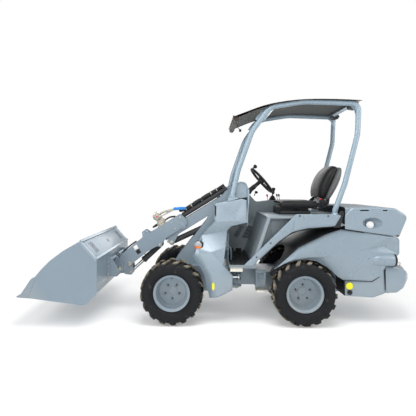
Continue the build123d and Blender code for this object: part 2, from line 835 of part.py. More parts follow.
def hose_coupling():
    base = boom_box(770, 850, cheek_top + 0.3, cheek_top + 10, cheek_inner + cheek_wall)
    upright = boom_box(776, 784, cheek_top + 8, 220, 30)
    centre = on_boom(792, 235)
    body = cross_pin(centre[0], centre[1], 46, -62, -18)
    start = on_boom(792, 235)
    grip = on_boom(600, 214)
    end = on_boom(486, 212)
    arm = rod((start[0], -50, start[1]), (grip[0], -50, grip[1]), 9)
    handle = rod((grip[0], -50, grip[1]), (end[0], -50, end[1]), 14)
    brace = boom_box(760, 826, 150, 205, 30) - boom_box(750, 775, 100, 250, 40)
    return base + upright + body + arm + handle + brace


# A cylinder is drawn along the line between its two pins: foot and head are points, length is the barrel's
def barrel(foot, head, length, radius, rod_radius):
    unit = (Vector(*head) - Vector(*foot)).normalized()
    begin = Vector(*foot) + unit * 24
    end = Vector(*foot) + unit * length
    shape = rod(begin, end, radius) + rod(end - unit * 26, end, radius + 3)
    shape -= rod(begin + unit * 20, end - unit * 24, rod_radius + 5)
    return shape - rod(end - unit * 30, end + unit * 5, rod_radius + 0.3)


lift_foot = (lift_barrel_x, 0, lift_barrel_z)
lift_end = (lift_rod_x, 0, lift_rod_z)
tilt_foot = (tilt_barrel_x, 0, tilt_barrel_z)
tilt_end = (lever_rod_x, 0, lever_rod_z)


def steering_cylinder():
    foot = Vector(steer_foot_x, steer_foot_y, steer_cylinder_z)
    tip = Vector(centre_pin_x + steer_lever_x, steer_lever_y, steer_cylinder_z)
    unit = (tip - foot).normalized()
    body = rod(foot + unit * 20, foot + unit * steer_barrel_length, steer_barrel_radius)
    body -= rod(foot + unit * 45, foot + unit * (steer_barrel_length - 20), steer_rod_radius + 5)
    body -= rod(foot + unit * 45, foot + unit * (steer_barrel_length + 5), steer_rod_radius + 0.3)
    body += Pos(foot) * Cylinder(24, 50)
    body += Pos(foot) * Cylinder(12, 56)
    shaft = rod(tip - unit * 240, tip, steer_rod_radius)
    shaft += Pos(tip) * Cylinder(17, 32)
    return body, shaft


def flat_cylinder(foot, head, length, radius, rod_radius, eye_half, foot_pin, head_pin, head_end, inside):
    body = barrel(foot, head, length, radius, rod_radius)
    eye = cross_pin(foot[0], foot[2], foot_pin + 14, foot[1] - eye_half, foot[1] + eye_half)
    body = body + eye - cross_pin(foot[0], foot[2], foot_pin + 0.3, foot[1] - 90, foot[1] + 90)
    tip = Vector(*head)
    unit = (tip - Vector(*foot)).normalized()
    shaft = rod(tip - unit * inside, tip, rod_radius)
    shaft += cross_pin(head[0], head[2], head_pin + 12, head[1] - eye_half, head[1] + eye_half)
    shaft += cross_pin(head[0], head[2], head_pin, head[1] - head_end, head[1] + head_end)
    return body, shaft


# Coupler and bucket
def coupler():
    side = [
        (-1147, 545, 10),
        (-1147, 400, 10),
        (-1087, 391, 20),
        (-1021, 442, 20),
        (-1110, 590, 20),
        (-1147, 585, 10),
    ]
    plates = plate(side, coupler_half_width - coupler_side_wall, coupler_half_width)
    ear = plate([(-1147, 420, 6), (-1147, 345, 20), (-1105, 340, 20), (-1036, 405, 30), (-1036, 465, 34),
                 (-1110, 560, 20), (-1147, 560, 6)], coupler_ear_inner, coupler_ear_inner + coupler_ear_wall)
    back = block(-1147, -1147 + coupler_plate, -coupler_half_width, coupler_half_width, 410, 545)
    back -= block(-1150, -1130, -coupler_ear_inner + 4, coupler_ear_inner - 4, 400, 520)
    bars = [rod((-1128, coupler_ear_inner, z), (-1128, coupler_half_width - 2, z), 18) for z in (548, 424)]
    pivot = cross_pin(coupler_pin_x, coupler_pin_z, 16, cheek_inner - 3, 90)
    return pair(plates + ear + bars[0] + bars[1] + pivot) + back


def bucket():
    side = [
        (-1877.5, 280, 0),
        (-1736, 270, 0),
        (-1262, 210, 80),
        (-1147.5, 312, 60),
        (-1147.5, 623, 16),
        (-1299, 790, 12),
        (-1453, 702, 160),
        (-1574, 612, 160),
        (-1650, 537, 160),
        (-1718, 455, 60),
        (-1800, 330, 20),
    ]
    wrapper_outer = [
        (-1877.5, 280, 0),
        (-1736, 270, 0),
        (-1262, 210, 80),
        (-1147.5, 330, 190),
        (-1147.5, 623, 16),
        (-1299, 790, 0),
        (-1304, 784, 0),
        (-1156, 619, 8),
        (-1156, 336, 184),
        (-1266, 219, 74),
        (-1736, 279, 0),
        (-1877.5, 290, 0),
    ]
    end = plate(side, bucket_half_width - bucket_wall, bucket_half_width)
    cutter = plate([(-1860, 279, 0), (-1780, 274, 0), (-1700, 440, 30), (-1722, 462, 14), (-1752, 440, 40)],
                   bucket_half_width - 22, bucket_half_width - 4)
    shell = plate(wrapper_outer, -bucket_half_width + 1, bucket_half_width - 1)
    for across, length in slot_groups:
        for index in range(4):
            row = Vector(-1285 + 22 * (index + 1), 0, 774 - 24 * (index + 1))
            slot = Pos(row.X, 0, row.Z) * Rot(0, 48, 0) * Box(9, length, 60)
            shell -= Pos(0, across, 0) * slot
    ear = plate([(-1150, 400, 0), (-1110, 396, 16), (-1110, 440, 16), (-1130, 560, 10), (-1151, 560, 0)],
                coupler_half_width + 0.5, coupler_half_width + 12.5)
    return shell + pair(end + cutter + ear)


save("front_chassis", front_chassis())
save("boom_tower", boom_tower())
save("front_axle", axle(front_axle_x))
save("fender_right", fender())
save("fender_left", left_of(fender()))
save("headlights", pair(head_lamp()))
save("marker_lamps", pair(marker_lamp()))
save("side_strips", pair(side_strip()))
save("platform", platform())
save("console", console())
save("cowl", cowl())
save("rops_frame", rops())
save("canopy", canopy())
seat_base, seat_cushion, seat_back = seat()
save("seat_base", seat_base)
save("seat_cushion", seat_cushion)
save("seat_back", seat_back)
column_top = Vector(steering_hub_x, 0, steering_hub_z) - column_axis() * running_gap
save("steering_column", rod(column_foot(), column_top, 20))
save("steering_wheel", steering_wheel())
save("step_treads", step_treads())
save("rear_step", rear_step())
save("control_levers", control_levers())
save("pedal", pedals())
save("curtain_roll", curtain_roll())
steer_barrel, steer_rod = steering_cylinder()
save("steer_barrel", steer_barrel)
save("steer_rod", steer_rod)
save("rear_chassis", rear_chassis())
save("rear_axle", axle(rear_axle_x))
save("rear_body", rear_body())
save("hood", hood())
save("engine", block(960, 1440, -230, 230, 430.3, 800))
save("counterweight", counterweight())
save("rear_lamps", pair(rear_lamp()))
save("tool_box", tool_box())
save("boom_base", boom_base())
save("telescope_barrel", telescope_barrel())
save("boom_head", boom_head())
save("telescope_rod", telescope_rod())
save("boom_hoses", boom_hoses())
save("hose_coupling", hose_coupling())
lift_barrel, lift_rod = flat_cylinder(lift_foot, lift_end, lift_barrel_length, lift_barrel_radius, lift_rod_radius,
                                      34, 16, 20, tower_inner - 1, 500)
save("lift_barrel", lift_barrel)
save("lift_rod", lift_rod)
tilt_barrel, tilt_rod = flat_cylinder(tilt_foot, tilt_end, tilt_barrel_length + 60, tilt_barrel_radius,
                                      tilt_rod_radius, 26, 14, 11, lever_inner - 1, tilt_rod_inside)
save("tilt_barrel", tilt_barrel)
save("tilt_rod", tilt_rod)
lever = plate([(-1054, 380, 20), (-1016, 358, 22), (-950, 352, 26), (-934, 400, 30), (-950, 504, 34), (-1004, 500, 30),
               (-1008, 432, 30), (-1048, 420, 20)], lever_inner, lever_inner + lever_wall)
lever_spacer = cross_pin(lever_pin_x, lever_pin_z, 24, -lever_inner - 1, lever_inner + 1)
link_pin = cross_pin(lever_link_x, lever_link_z, 12, -lever_inner - 1, lever_inner + 1)
lever_shape = pair(lever) + lever_spacer + link_pin
save("tilt_lever", lever_shape - cross_pin(lever_pin_x, lever_pin_z, 14.3, -100, 100))
link = plate([(-1142, 339, 18), (-1080, 364, 40), (-1016, 371, 22), (-1006, 412, 22), (-1070, 400, 40), (-1140, 384, 18)],
             -link_half_width, link_half_width)
link_pin_end = coupler_ear_inner - 1
link += cross_pin(coupler_link_x, coupler_link_z, 11, -link_pin_end, link_pin_end)
save("tilt_link", link - cross_pin(lever_link_x, lever_link_z, 12.3, -100, 100))
save("coupler", coupler())
save("bucket", bucket())
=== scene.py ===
from math import atan2, cos, hypot, pi, radians, sin, tan

import bpy
from mathutils import Matrix, Vector


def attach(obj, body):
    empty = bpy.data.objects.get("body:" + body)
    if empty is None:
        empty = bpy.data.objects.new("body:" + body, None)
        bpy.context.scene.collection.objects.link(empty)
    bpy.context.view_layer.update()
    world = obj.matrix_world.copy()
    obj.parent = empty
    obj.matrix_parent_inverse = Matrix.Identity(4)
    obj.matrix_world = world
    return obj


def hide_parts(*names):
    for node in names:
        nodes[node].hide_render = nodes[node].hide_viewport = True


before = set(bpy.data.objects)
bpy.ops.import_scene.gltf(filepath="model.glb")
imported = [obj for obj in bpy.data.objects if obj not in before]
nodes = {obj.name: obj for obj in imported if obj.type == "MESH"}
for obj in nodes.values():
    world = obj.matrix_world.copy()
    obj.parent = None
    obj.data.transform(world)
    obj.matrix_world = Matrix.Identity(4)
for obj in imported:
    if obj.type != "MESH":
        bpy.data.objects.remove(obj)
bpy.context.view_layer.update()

# Sizes in this script are millimetres, as in the CAD. The scene is in metres.
unit = 0.001
leftSide = -1
rightSide = 1
bothSides = ((leftSide, "left"), (rightSide, "right"))
acrossAxis = Vector((0, 1, 0))


def place(x, y, z):
    return Vector((x, y, z)) * unit


# The low and high y of a piece on one side, from its inner and outer distances
def span(side, inner, outer):
    return sorted((side * inner, side * outer))


# Selection and modelling helpers
def clearSelection():
    if bpy.context.mode != "OBJECT":
        bpy.ops.object.mode_set(mode="OBJECT")
    bpy.ops.object.select_all(action="DESELECT")


def pickOnly(piece):
    clearSelection()
    piece.select_set(True)
    bpy.context.view_layer.objects.active = piece


def editAll(piece, mode="VERT"):
    pickOnly(piece)
    bpy.ops.object.mode_set(mode="EDIT")
    bpy.ops.mesh.select_mode(type=mode)
    bpy.ops.mesh.select_all(action="SELECT")


def backToObject():
    bpy.ops.object.mode_set(mode="OBJECT")


def addModifier(piece, kind, **settings):
    modifier = piece.modifiers.new(kind.lower(), kind)
    for name, value in settings.items():
        setattr(modifier, name, value)
    return modifier


def applied(piece, kind, **settings):
    modifier = addModifier(piece, kind, **settings)
    pickOnly(piece)
    bpy.ops.object.modifier_apply(modifier=modifier.name)
    return piece


def rounded(piece, width, segments=2, angle=32):
    return applied(piece, "BEVEL", width=width * unit, segments=segments, limit_method="ANGLE",
                   angle_limit=radians(angle), use_clamp_overlap=False, harden_normals=False)


def smooth(piece, angle=35):
    pickOnly(piece)
    bpy.ops.object.shade_smooth_by_angle(angle=radians(angle))
    return piece


def outwards(piece):
    editAll(piece)
    bpy.ops.mesh.remove_doubles(threshold=0.00002)
    bpy.ops.mesh.normals_make_consistent(inside=False)
    backToObject()
    return piece


def cut(piece, *cutters):
    for cutter in cutters:
        applied(piece, "BOOLEAN", operation="DIFFERENCE", solver="EXACT", object=cutter)
        bpy.data.objects.remove(cutter)
    return piece


def joined(name, pieces):
    clearSelection()
    for piece in pieces:
        piece.select_set(True)
    bpy.context.view_layer.objects.active = pieces[0]
    bpy.ops.object.join()
    whole = bpy.context.object
    whole.name = name
    return whole


def copied(piece, name, matrix):
    twin = piece.copy()
    twin.data = piece.data.copy()
    twin.name = name
    bpy.context.scene.collection.objects.link(twin)
    twin.data.transform(matrix)
    if matrix.determinant() < 0:
        twin.data.flip_normals()
    return twin


def otherSide(piece, name):
    return copied(piece, name, Matrix.Scale(-1, 4, Vector((0, 1, 0))))


# Corners are (across, up) with an optional rounding radius
def roundedOutline(corners, step=12):
    points = []
    for index, corner in enumerate(corners):
        here = Vector(corner[:2])
        before = Vector(corners[index - 1][:2]) - here
        after = Vector(corners[(index + 1) % len(corners)][:2]) - here
        half = before.angle(after) / 2
        if len(corner) < 3 or not corner[2] or half > radians(89.5):
            points.append(here)
            continue
        reach = min(corner[2] / tan(half), 0.48 * before.length, 0.48 * after.length)
        radius = reach * tan(half)
        middle = here + (before.normalized() + after.normalized()).normalized() * (radius / sin(half))
        start = here + before.normalized() * reach - middle
        end = here + after.normalized() * reach - middle
        turn = start.angle_signed(end)
        count = max(2, int(abs(turn) / radians(step)) + 1)
        for part in range(count + 1):
            angle = -turn * part / count
            points.append(middle + Vector((start.x * cos(angle) - start.y * sin(angle),
                                           start.x * sin(angle) + start.y * cos(angle))))
    return points


# A flat sheet drawn in side view, plan or front view, and extruded to its thickness
def plate(name, corners, low, high, edge=2.0, view="side", segments=2, step=12):
    points = roundedOutline(corners, step)
    clearSelection()
    bpy.ops.mesh.primitive_circle_add(vertices=len(points), fill_type="NGON")
    piece = bpy.context.object
    piece.name = name
    spots = {"side": lambda a, b: place(a, low, b), "plan": lambda a, b: place(a, b, low),
             "front": lambda a, b: place(low, a, b)}
    for vertex, (a, b) in zip(piece.data.vertices, points):
        vertex.co = spots[view](a, b)
    lift = {"side": (0, 1, 0), "plan": (0, 0, 1), "front": (1, 0, 0)}[view]
    editAll(piece, "FACE")
    bpy.ops.mesh.extrude_region_move(TRANSFORM_OT_translate={"value": Vector(lift) * (high - low) * unit})
    backToObject()
    outwards(piece)
    if edge:
        rounded(piece, edge, segments)
    return smooth(piece)


def block(name, low, high, edge=2.0):
    corners = [(low[0], low[2]), (high[0], low[2]), (high[0], high[2]), (low[0], high[2])]
    return plate(name, corners, low[1], high[1], edge)


# A turned piece: profile rows are (radius, along), spun about an axis through its centre
def turned(name, profile, centre, axis=(0, 1, 0), steps=48, angle=35):
    clearSelection()
    bpy.ops.mesh.primitive_circle_add(vertices=len(profile), fill_type="NOTHING")
    piece = bpy.context.object
    piece.name = name
    direction = Vector(axis).normalized()
    side = direction.orthogonal().normalized()
    middle = Vector(centre) * unit
    for vertex, (radius, along) in zip(piece.data.vertices, profile):
        vertex.co = middle + (direction * along + side * radius) * unit
    editAll(piece, "EDGE")
    bpy.ops.mesh.spin(steps=steps, angle=2 * pi, center=middle, axis=direction)
    backToObject()
    outwards(piece)
    return smooth(piece, angle)


def pin(name, start, end, radius, edge=1.0, steps=24):
    direction = Vector(end) - Vector(start)
    length = direction.length
    profile = [(0, 0), (radius - edge, 0), (radius, edge), (radius, length - edge), (radius - edge, length),
               (0, length)]
    return turned(name, profile, start, direction, steps)


# A bar or hose that follows smooth points, as a bevelled curve turned into a mesh
def tube(name, points, radius, sides=5, smoothPath=True):
    curve = bpy.data.curves.new(name, "CURVE")
    curve.dimensions = "3D"
    curve.bevel_depth = radius * unit
    curve.bevel_resolution = sides
    curve.use_fill_caps = True
    curve.resolution_u = 8
    spline = curve.splines.new("NURBS" if smoothPath else "POLY")
    spline.points.add(len(points) - 1)
    for spot, point in zip(spline.points, points):
        spot.co = (*(Vector(point) * unit), 1)
    if smoothPath:
        spline.order_u = 3
        spline.use_endpoint_u = True
    piece = bpy.data.objects.new(name, curve)
    bpy.context.scene.collection.objects.link(piece)
    pickOnly(piece)
    bpy.ops.object.convert(target="MESH")
    return smooth(bpy.context.object, 50)


# A curved skin: rows of the same number of points, each row a list of (x, y, z)
def skin(name, rows, wall=0.0, edge=0.0, levels=0, closed=False):
    across = len(rows[0])
    clearSelection()
    bpy.ops.mesh.primitive_grid_add(x_subdivisions=across - 1, y_subdivisions=len(rows) - 1)
    piece = bpy.context.object
    piece.name = name
    flat = [point for row in rows for point in row]
    for vertex, point in zip(piece.data.vertices, flat):
        vertex.co = Vector(point) * unit
    if closed:
        outwards(piece)
    if wall:
        applied(piece, "SOLIDIFY", thickness=wall * unit, offset=-1)
    if edge:
        rounded(piece, edge)
    if levels:
        applied(piece, "SUBSURF", levels=levels, render_levels=levels)
    return smooth(piece)


# Faces over the open ends of a skin, and the whole facing outwards
def closedEnds(piece):
    editAll(piece, "EDGE")
    bpy.ops.mesh.select_all(action="DESELECT")
    bpy.ops.mesh.select_non_manifold()
    bpy.ops.mesh.edge_face_add()
    bpy.ops.mesh.select_all(action="SELECT")
    bpy.ops.mesh.normals_make_consistent(inside=False)
    backToObject()
    return piece


# A piece stretched about a point
def stretched(piece, centre, factors):
    middle = place(*centre)
    piece.data.transform(Matrix.Translation(middle) @ Matrix.Diagonal((*factors, 1))
                         @ Matrix.Translation(-middle))
    return piece


# A faceted moulding: named points (x, out, z) and faces that name their corners
def moulding(name, side, points, faces, wall, edge, segments=3):
    shape = bpy.data.meshes.new(name)
    names = list(points)
    spots = [place(points[key][0], points[key][1] * side, points[key][2]) for key in names]
    shape.from_pydata(spots, [], [[names.index(key) for key in face.split()] for face in faces])
    piece = bpy.data.objects.new(name, shape)
    bpy.context.scene.collection.objects.link(piece)
    editAll(piece, "FACE")
    bpy.ops.mesh.normals_make_consistent(inside=False)
    backToObject()
    facing = sum(face.normal.y * face.area for face in piece.data.polygons)
    if facing * side < 0:
        piece.data.flip_normals()
    applied(piece, "SOLIDIFY", thickness=wall * unit, offset=-1, use_even_offset=True)
    rounded(piece, edge, segments, 9)
    return smooth(piece, 60)


# A hexagon-headed bolt with its washer, standing on a face: normal is the way it points
def bolt(name, spot, normal, across=16):
    centre = Vector(spot)
    washer = turned(name + "Washer",
                    [(0, 0), (across * 0.72, 0), (across * 0.72, 1.5), (across * 0.66, 2.2), (0, 2.2)],
                    centre, normal, 18)
    head = turned(name, [(0, 2), (across * 0.55, 2), (across * 0.58, 3), (across * 0.58, across * 0.42),
                         (across * 0.46, across * 0.5), (0, across * 0.5)], centre, normal, 6)
    return joined(name, [head, washer])


print("helpers ready")


# Shader maths: a Wire is one value in a material's node tree, and the operators add Math nodes
class Wire:
    def __init__(self, paint, socket):
        self.paint = paint
        self.socket = socket

    def math(self, operation, first, second=0.5):
        return self.paint.add("Math", {"operation": operation}, first, second)

    def __add__(self, other):
        return self.math("ADD", self, other)

    def __radd__(self, other):
        return self.math("ADD", other, self)

    def __sub__(self, other):
        return self.math("SUBTRACT", self, other)

    def __rsub__(self, other):
        return self.math("SUBTRACT", other, self)

    def __mul__(self, other):
        return self.math("MULTIPLY", self, other)

    def __rmul__(self, other):
        return self.math("MULTIPLY", other, self)

    def __gt__(self, other):
        return self.math("GREATER_THAN", self, other)

    def __lt__(self, other):
        return self.math("LESS_THAN", self, other)


class Finish:
    def __init__(self, name):
        self.material = bpy.data.materials.new(name)
        self.material.use_nodes = True
        self.tree = self.material.node_tree
        self.tree.nodes.clear()
        self.output = self.tree.nodes.new("ShaderNodeOutputMaterial")

    # Adds a node of any type: settings are set first, then its inputs by order or by name
    def add(self, kind, settings=None, *inputs, out=0, **named):
        node = self.tree.nodes.new("ShaderNode" + kind)
        for key, value in (settings or {}).items():
            if key == "stops":
                while len(node.color_ramp.elements) < len(value):
                    node.color_ramp.elements.new(0.5)
                for element, (position, colour) in zip(node.color_ramp.elements, value):
                    element.position = position
                    element.color = colour
            else:
                setattr(node, key, value)
        for socket, value in list(zip(node.inputs, inputs)) + [(node.inputs[key], value) for key,
                                                               value in named.items()]:
            self.feed(socket, value)
        return Wire(self, node.outputs[out])

    def feed(self, socket, value):
        if isinstance(value, Wire):
            self.tree.links.new(value.socket, socket)
        elif value is not None:
            socket.default_value = value

    def coordinates(self):
        return self.add("TexCoord", out="Object")

    def noise(self, scale, detail=3, roughness=0.55, stretch=(1, 1, 1), seed=0.0):
        spot = self.add("Mapping", {}, self.coordinates(), Scale=stretch, Location=(seed, seed, seed))
        return self.add("TexNoise", {}, Vector=spot, Scale=scale, Detail=detail, Roughness=roughness)

    def ramp(self, value, low, high):
        return self.add("MapRange", {"clamp": True}, value, low, high, 0.0, 1.0)

    def mix(self, factor, first, second):
        node = self.tree.nodes.new("ShaderNodeMix")
        node.data_type = "RGBA"
        for socket, value in ((node.inputs[0], factor), (node.inputs[6], first), (node.inputs[7], second)):
            self.feed(socket, value)
        return Wire(self, node.outputs[2])

    def bump(self, height, strength, distance):
        return self.add("Bump", {}, Strength=strength, Distance=distance * unit, Height=height)

    def surface(self, **sockets):
        node = self.tree.nodes.new("ShaderNodeBsdfPrincipled")
        for key, value in sockets.items():
            self.feed(node.inputs[key.replace("_", " ")], value)
        self.tree.links.new(node.outputs[0], self.output.inputs["Surface"])
        return self.material


def grey(level):
    return (level, level, level, 1)


# A paler or darker tint of a colour, for dust and wear
def tinted(colour, factor, lift=0.0):
    return tuple(part * factor + lift for part in colour[:3]) + (1,)


# Sprayed light blue-grey: soft orange peel, a little dust low down and in patches
def sprayedPaint(name, colour, dusty, roughness, metallic):
    paint = Finish(name)
    broad = paint.noise(2.2, 4)
    fine = paint.noise(6, 3, seed=7.0)
    height = paint.add("SeparateXYZ", {}, paint.coordinates(), out="Z")
    low = 1 - paint.ramp(height, 0.15, 0.75)
    dust = paint.ramp(broad + low * 0.28, 0.62, 0.95) * 0.38
    base = paint.mix(dust, colour, dusty)
    shade = paint.mix(paint.ramp(broad, 0.35, 0.7) * 0.25, base, tinted(colour, 0.86))
    return paint.surface(Base_Color=shade,
                         Roughness=roughness + paint.ramp(fine, 0.3, 0.7) * 0.08 + dust * 0.4,
                         Metallic=metallic, Coat_Weight=0.25, Coat_Roughness=0.18,
                         Normal=paint.bump(paint.noise(25, 2), 0.03, 0.3))


# Carcass rubber is charcoal, and the lugs carry pale dust from the yard
def tyreRubber():
    paint = Finish("tyreRubber")
    spots = paint.noise(14, 6, 0.65)
    grain = paint.noise(220, 3)
    dusty = paint.add("Attribute", {"attribute_name": "dust"}, out="Fac")
    dust = paint.ramp(spots + dusty * 0.45, 0.62, 0.98)
    colour = paint.mix(dust, (0.010, 0.011, 0.013, 1), (0.26, 0.225, 0.17, 1))
    return paint.surface(Base_Color=colour, Roughness=0.66 + dust * 0.3, Specular_IOR_Level=0.22,
                         Normal=paint.bump(grain, 0.35, 0.8))


def plainRubber(name, colour, roughness, scale, strength):
    paint = Finish(name)
    grain = paint.noise(scale, 3)
    patch = paint.noise(9, 4, seed=3.0)
    shade = paint.mix(paint.ramp(patch, 0.35, 0.75) * 0.45, colour, tinted(colour, 1.9, 0.01))
    return paint.surface(Base_Color=shade, Roughness=roughness + paint.ramp(patch, 0.3, 0.8) * 0.12,
                         Specular_IOR_Level=0.3, Normal=paint.bump(grain, strength, 0.5))


# Vinyl cover: leather-like grain from cells, with a soft sheen
def seatVinyl():
    paint = Finish("seatVinyl")
    cells = paint.add("TexVoronoi", {"feature": "DISTANCE_TO_EDGE"}, Vector=paint.coordinates(), Scale=260.0)
    wear = paint.noise(6, 4, seed=5.0)
    colour = paint.mix(paint.ramp(wear, 0.45, 0.8) * 0.5, (0.007, 0.007, 0.008, 1), (0.018, 0.018, 0.02, 1))
    return paint.surface(Base_Color=colour, Roughness=0.42 + paint.ramp(wear, 0.3, 0.8) * 0.2,
                         Sheen_Weight=0.02, Specular_IOR_Level=0.35,
                         Normal=paint.bump(paint.ramp(cells, 0.0, 0.12), 0.25, 0.4))


# Woven cloth: two crossing waves on the piece's own places
def wovenCloth(name, colour, threads):
    paint = Finish(name)
    spot = paint.coordinates()
    warp = paint.add("TexWave", {"bands_direction": "Y"}, Vector=spot, Scale=threads)
    weft = paint.add("TexWave", {"bands_direction": "DIAGONAL"}, Vector=spot, Scale=threads)
    fade = paint.noise(5, 4)
    shade = paint.mix(paint.ramp(fade, 0.3, 0.75), colour, tinted(colour, 2.1, 0.012))
    return paint.surface(Base_Color=shade, Roughness=0.88, Sheen_Weight=0.2, Sheen_Roughness=0.5,
                         Normal=paint.bump(warp * weft, 0.4, 0.6))


def bareMetal(name, colour, roughness, grain, stretch):
    paint = Finish(name)
    brush = paint.noise(grain, 3, stretch=stretch)
    blotch = paint.noise(12, 4, seed=2.0)
    shade = paint.mix(paint.ramp(blotch, 0.35, 0.8) * 0.4, colour, tinted(colour, 0.7))
    return paint.surface(Base_Color=shade, Metallic=1.0,
                         Roughness=roughness + paint.ramp(brush, 0.3, 0.7) * 0.14,
                         Normal=paint.bump(brush, 0.15, 0.2))


def lampPlastic(name, colour, transmission, roughness):
    paint = Finish(name)
    ribs = paint.add("TexWave", {"bands_direction": "Z"}, Vector=paint.coordinates(), Scale=40.0)
    cloud = paint.noise(30, 3)
    shade = paint.mix(paint.ramp(cloud, 0.3, 0.8) * 0.3, colour, tinted(colour, 0.75))
    return paint.surface(Base_Color=shade, Roughness=roughness, Transmission_Weight=transmission, IOR=1.49,
                         Coat_Weight=0.5, Normal=paint.bump(ribs, 0.25, 0.6))


def glossyPlastic(name, colour, roughness):
    paint = Finish(name)
    grain = paint.noise(180, 2)
    patch = paint.noise(8, 4, seed=1.5)
    shade = paint.mix(paint.ramp(patch, 0.35, 0.8) * 0.3, colour, tinted(colour, 0.8))
    return paint.surface(Base_Color=shade, Roughness=roughness + paint.ramp(patch, 0.3, 0.8) * 0.1,
                         Normal=paint.bump(grain, 0.12, 0.3))


silver = (0.215, 0.280, 0.335, 1)
dustColour = (0.44, 0.43, 0.40, 1)
finishes = {
    "paint": (sprayedPaint("silverPaint", silver, dustColour, 0.34, 0.12), "paint"),
    "moulded": (sprayedPaint("mouldedPaint", (0.265, 0.335, 0.392, 1), (0.42, 0.43, 0.42, 1), 0.24, 0.12),
                "paint"),
    "frameTube": (sprayedPaint("tubePaint", (0.27, 0.355, 0.42, 1), dustColour, 0.28, 0.12), "paint"),
    "console": (sprayedPaint("consolePaint", (0.25, 0.30, 0.33, 1), (0.32, 0.33, 0.32, 1), 0.40, 0.08),
                "paint"),
    "tyre": (tyreRubber(), "tyre"),
    "iron": (plainRubber("darkIron", (0.045, 0.048, 0.052, 1), 0.55, 120, 0.35), "dark_iron"),
    "black": (plainRubber("blackPlastic", (0.014, 0.014, 0.016, 1), 0.42, 300, 0.2), "black"),
    "rubber": (plainRubber("hoseRubber", (0.016, 0.017, 0.018, 1), 0.58, 160, 0.3), "black"),
    "seat": (seatVinyl(), "seat_cover"),
    "shell": (glossyPlastic("seatShell", (0.10, 0.105, 0.105, 1), 0.38), "black"),
    "cloth": (wovenCloth("brownCloth", (0.022, 0.015, 0.011, 1), 260.0), "cloth"),
    "roof": (glossyPlastic("roofSheet", (0.030, 0.019, 0.012, 1), 0.30), "roof_sheet"),
    "liner": (plainRubber("roofLiner", (0.050, 0.054, 0.052, 1), 0.62, 90, 0.3), "roof_sheet"),
    "zinc": (bareMetal("zincPlate", (0.50, 0.48, 0.42, 1), 0.34, 60, (1, 1, 1)), "steel"),
    "worn": (bareMetal("wornSteel", (0.74, 0.75, 0.76, 1), 0.30, 40, (1, 12, 1)), "steel"),
    "tread": (bareMetal("stepAlloy", (0.80, 0.78, 0.70, 1), 0.42, 70, (6, 1, 1)), "tread"),
    "chrome": (bareMetal("rodChrome", (0.86, 0.87, 0.88, 1), 0.10, 90, (1, 1, 8)), "rod_chrome"),
    "lens": (lampPlastic("clearLens", (0.86, 0.89, 0.92, 1), 0.6, 0.08), "lens"),
    "amber": (lampPlastic("amberLens", (0.95, 0.23, 0.02, 1), 0.15, 0.18), "amber"),
    "red": (glossyPlastic("redGrip", (0.72, 0.015, 0.03, 1), 0.3), "amber"),
    "blue": (glossyPlastic("blueGrip", (0.01, 0.20, 0.62, 1), 0.3), "black"),
    "yellow": (glossyPlastic("yellowMark", (0.85, 0.82, 0.02, 1), 0.35), "amber"),
    "white": (glossyPlastic("whiteMark", (0.80, 0.80, 0.80, 1), 0.4), "paint"),
}


def dress(piece, body, finish, *replaced):
    material, slotName = finishes[finish]
    piece.data.materials.clear()
    piece.data.materials.append(material)
    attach(piece, body)
    if replaced:
        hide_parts(*replaced)
    return piece


def boltRow(name, spots, normal, across, body):
    for spot in spots:
        dress(bolt(name, spot, normal, across), body, "zinc")


# Every CAD node gets its finish, also where a piece below replaces it: its loose triangles are welded and its
# edges broken by live modifiers
keptNodes = {
    "front_chassis": "paint", "boom_tower": "paint", "front_axle": "iron", "platform": "console",
    "console": "console", "cowl": "moulded", "seat_base": "black", "steering_column": "black",
    "control_levers": "black", "pedal": "black", "rear_chassis": "paint", "rear_axle": "iron",
    "engine": "iron", "counterweight": "paint", "tool_box": "paint", "boom_base": "paint",
    "telescope_barrel": "iron", "boom_head": "paint", "telescope_rod": "chrome", "tilt_lever": "paint",
    "tilt_link": "paint", "coupler": "paint", "lift_barrel": "iron", "lift_rod": "chrome",
    "tilt_barrel": "iron", "tilt_rod": "chrome", "steer_barrel": "iron", "steer_rod": "chrome",
    "marker_lamps": "black", "headlights": "lens", "side_strips": "paint", "rops_frame": "frameTube",
    "canopy": "roof", "curtain_roll": "cloth", "step_treads": "tread", "rear_step": "tread",
    "rear_lamps": "amber", "hose_coupling": "paint", "fender_left": "moulded", "fender_right": "moulded",
    "rear_body": "moulded", "hood": "moulded", "bucket": "paint", "seat_cushion": "seat", "seat_back": "seat",
    "steering_wheel": "black", "boom_hoses": "rubber",
}
for wheel in ("front_left", "front_right", "rear_left", "rear_right"):
    keptNodes[wheel + "_tyre"] = "tyre"
    keptNodes[wheel + "_rim"] = "paint"
for nodeName, finish in keptNodes.items():
    node = nodes[nodeName]
    node.data.materials.clear()
    node.data.materials.append(finishes[finish][0])
    addModifier(node, "WELD", merge_threshold=0.00002)
    addModifier(node, "BEVEL", width=1.6 * unit, segments=2, limit_method="ANGLE", angle_limit=radians(34),
                use_clamp_overlap=True)
print("CAD nodes dressed")

# Wheels: a carcass turned from its profile, chevron lugs over the shoulders and a deep dished rim
wheelSize = {"radius": 295, "lugs": 17, "boltCircle": 70, "bolts": 5, "track": 431.5, "axleZ": 295,
             "axleX": {"front": -488, "rear": 732}, "boltTurn": {"front": 54, "rear": 18}}
carcassSide = [(154, 91), (174, 91.5), (176, 97), (181, 108), (190, 116), (194, 121), (199, 121.5),
               (203, 127), (228, 132.5), (243, 132), (257, 125), (267, 112), (273, 98), (275, 60),
               (275.5, 0)]
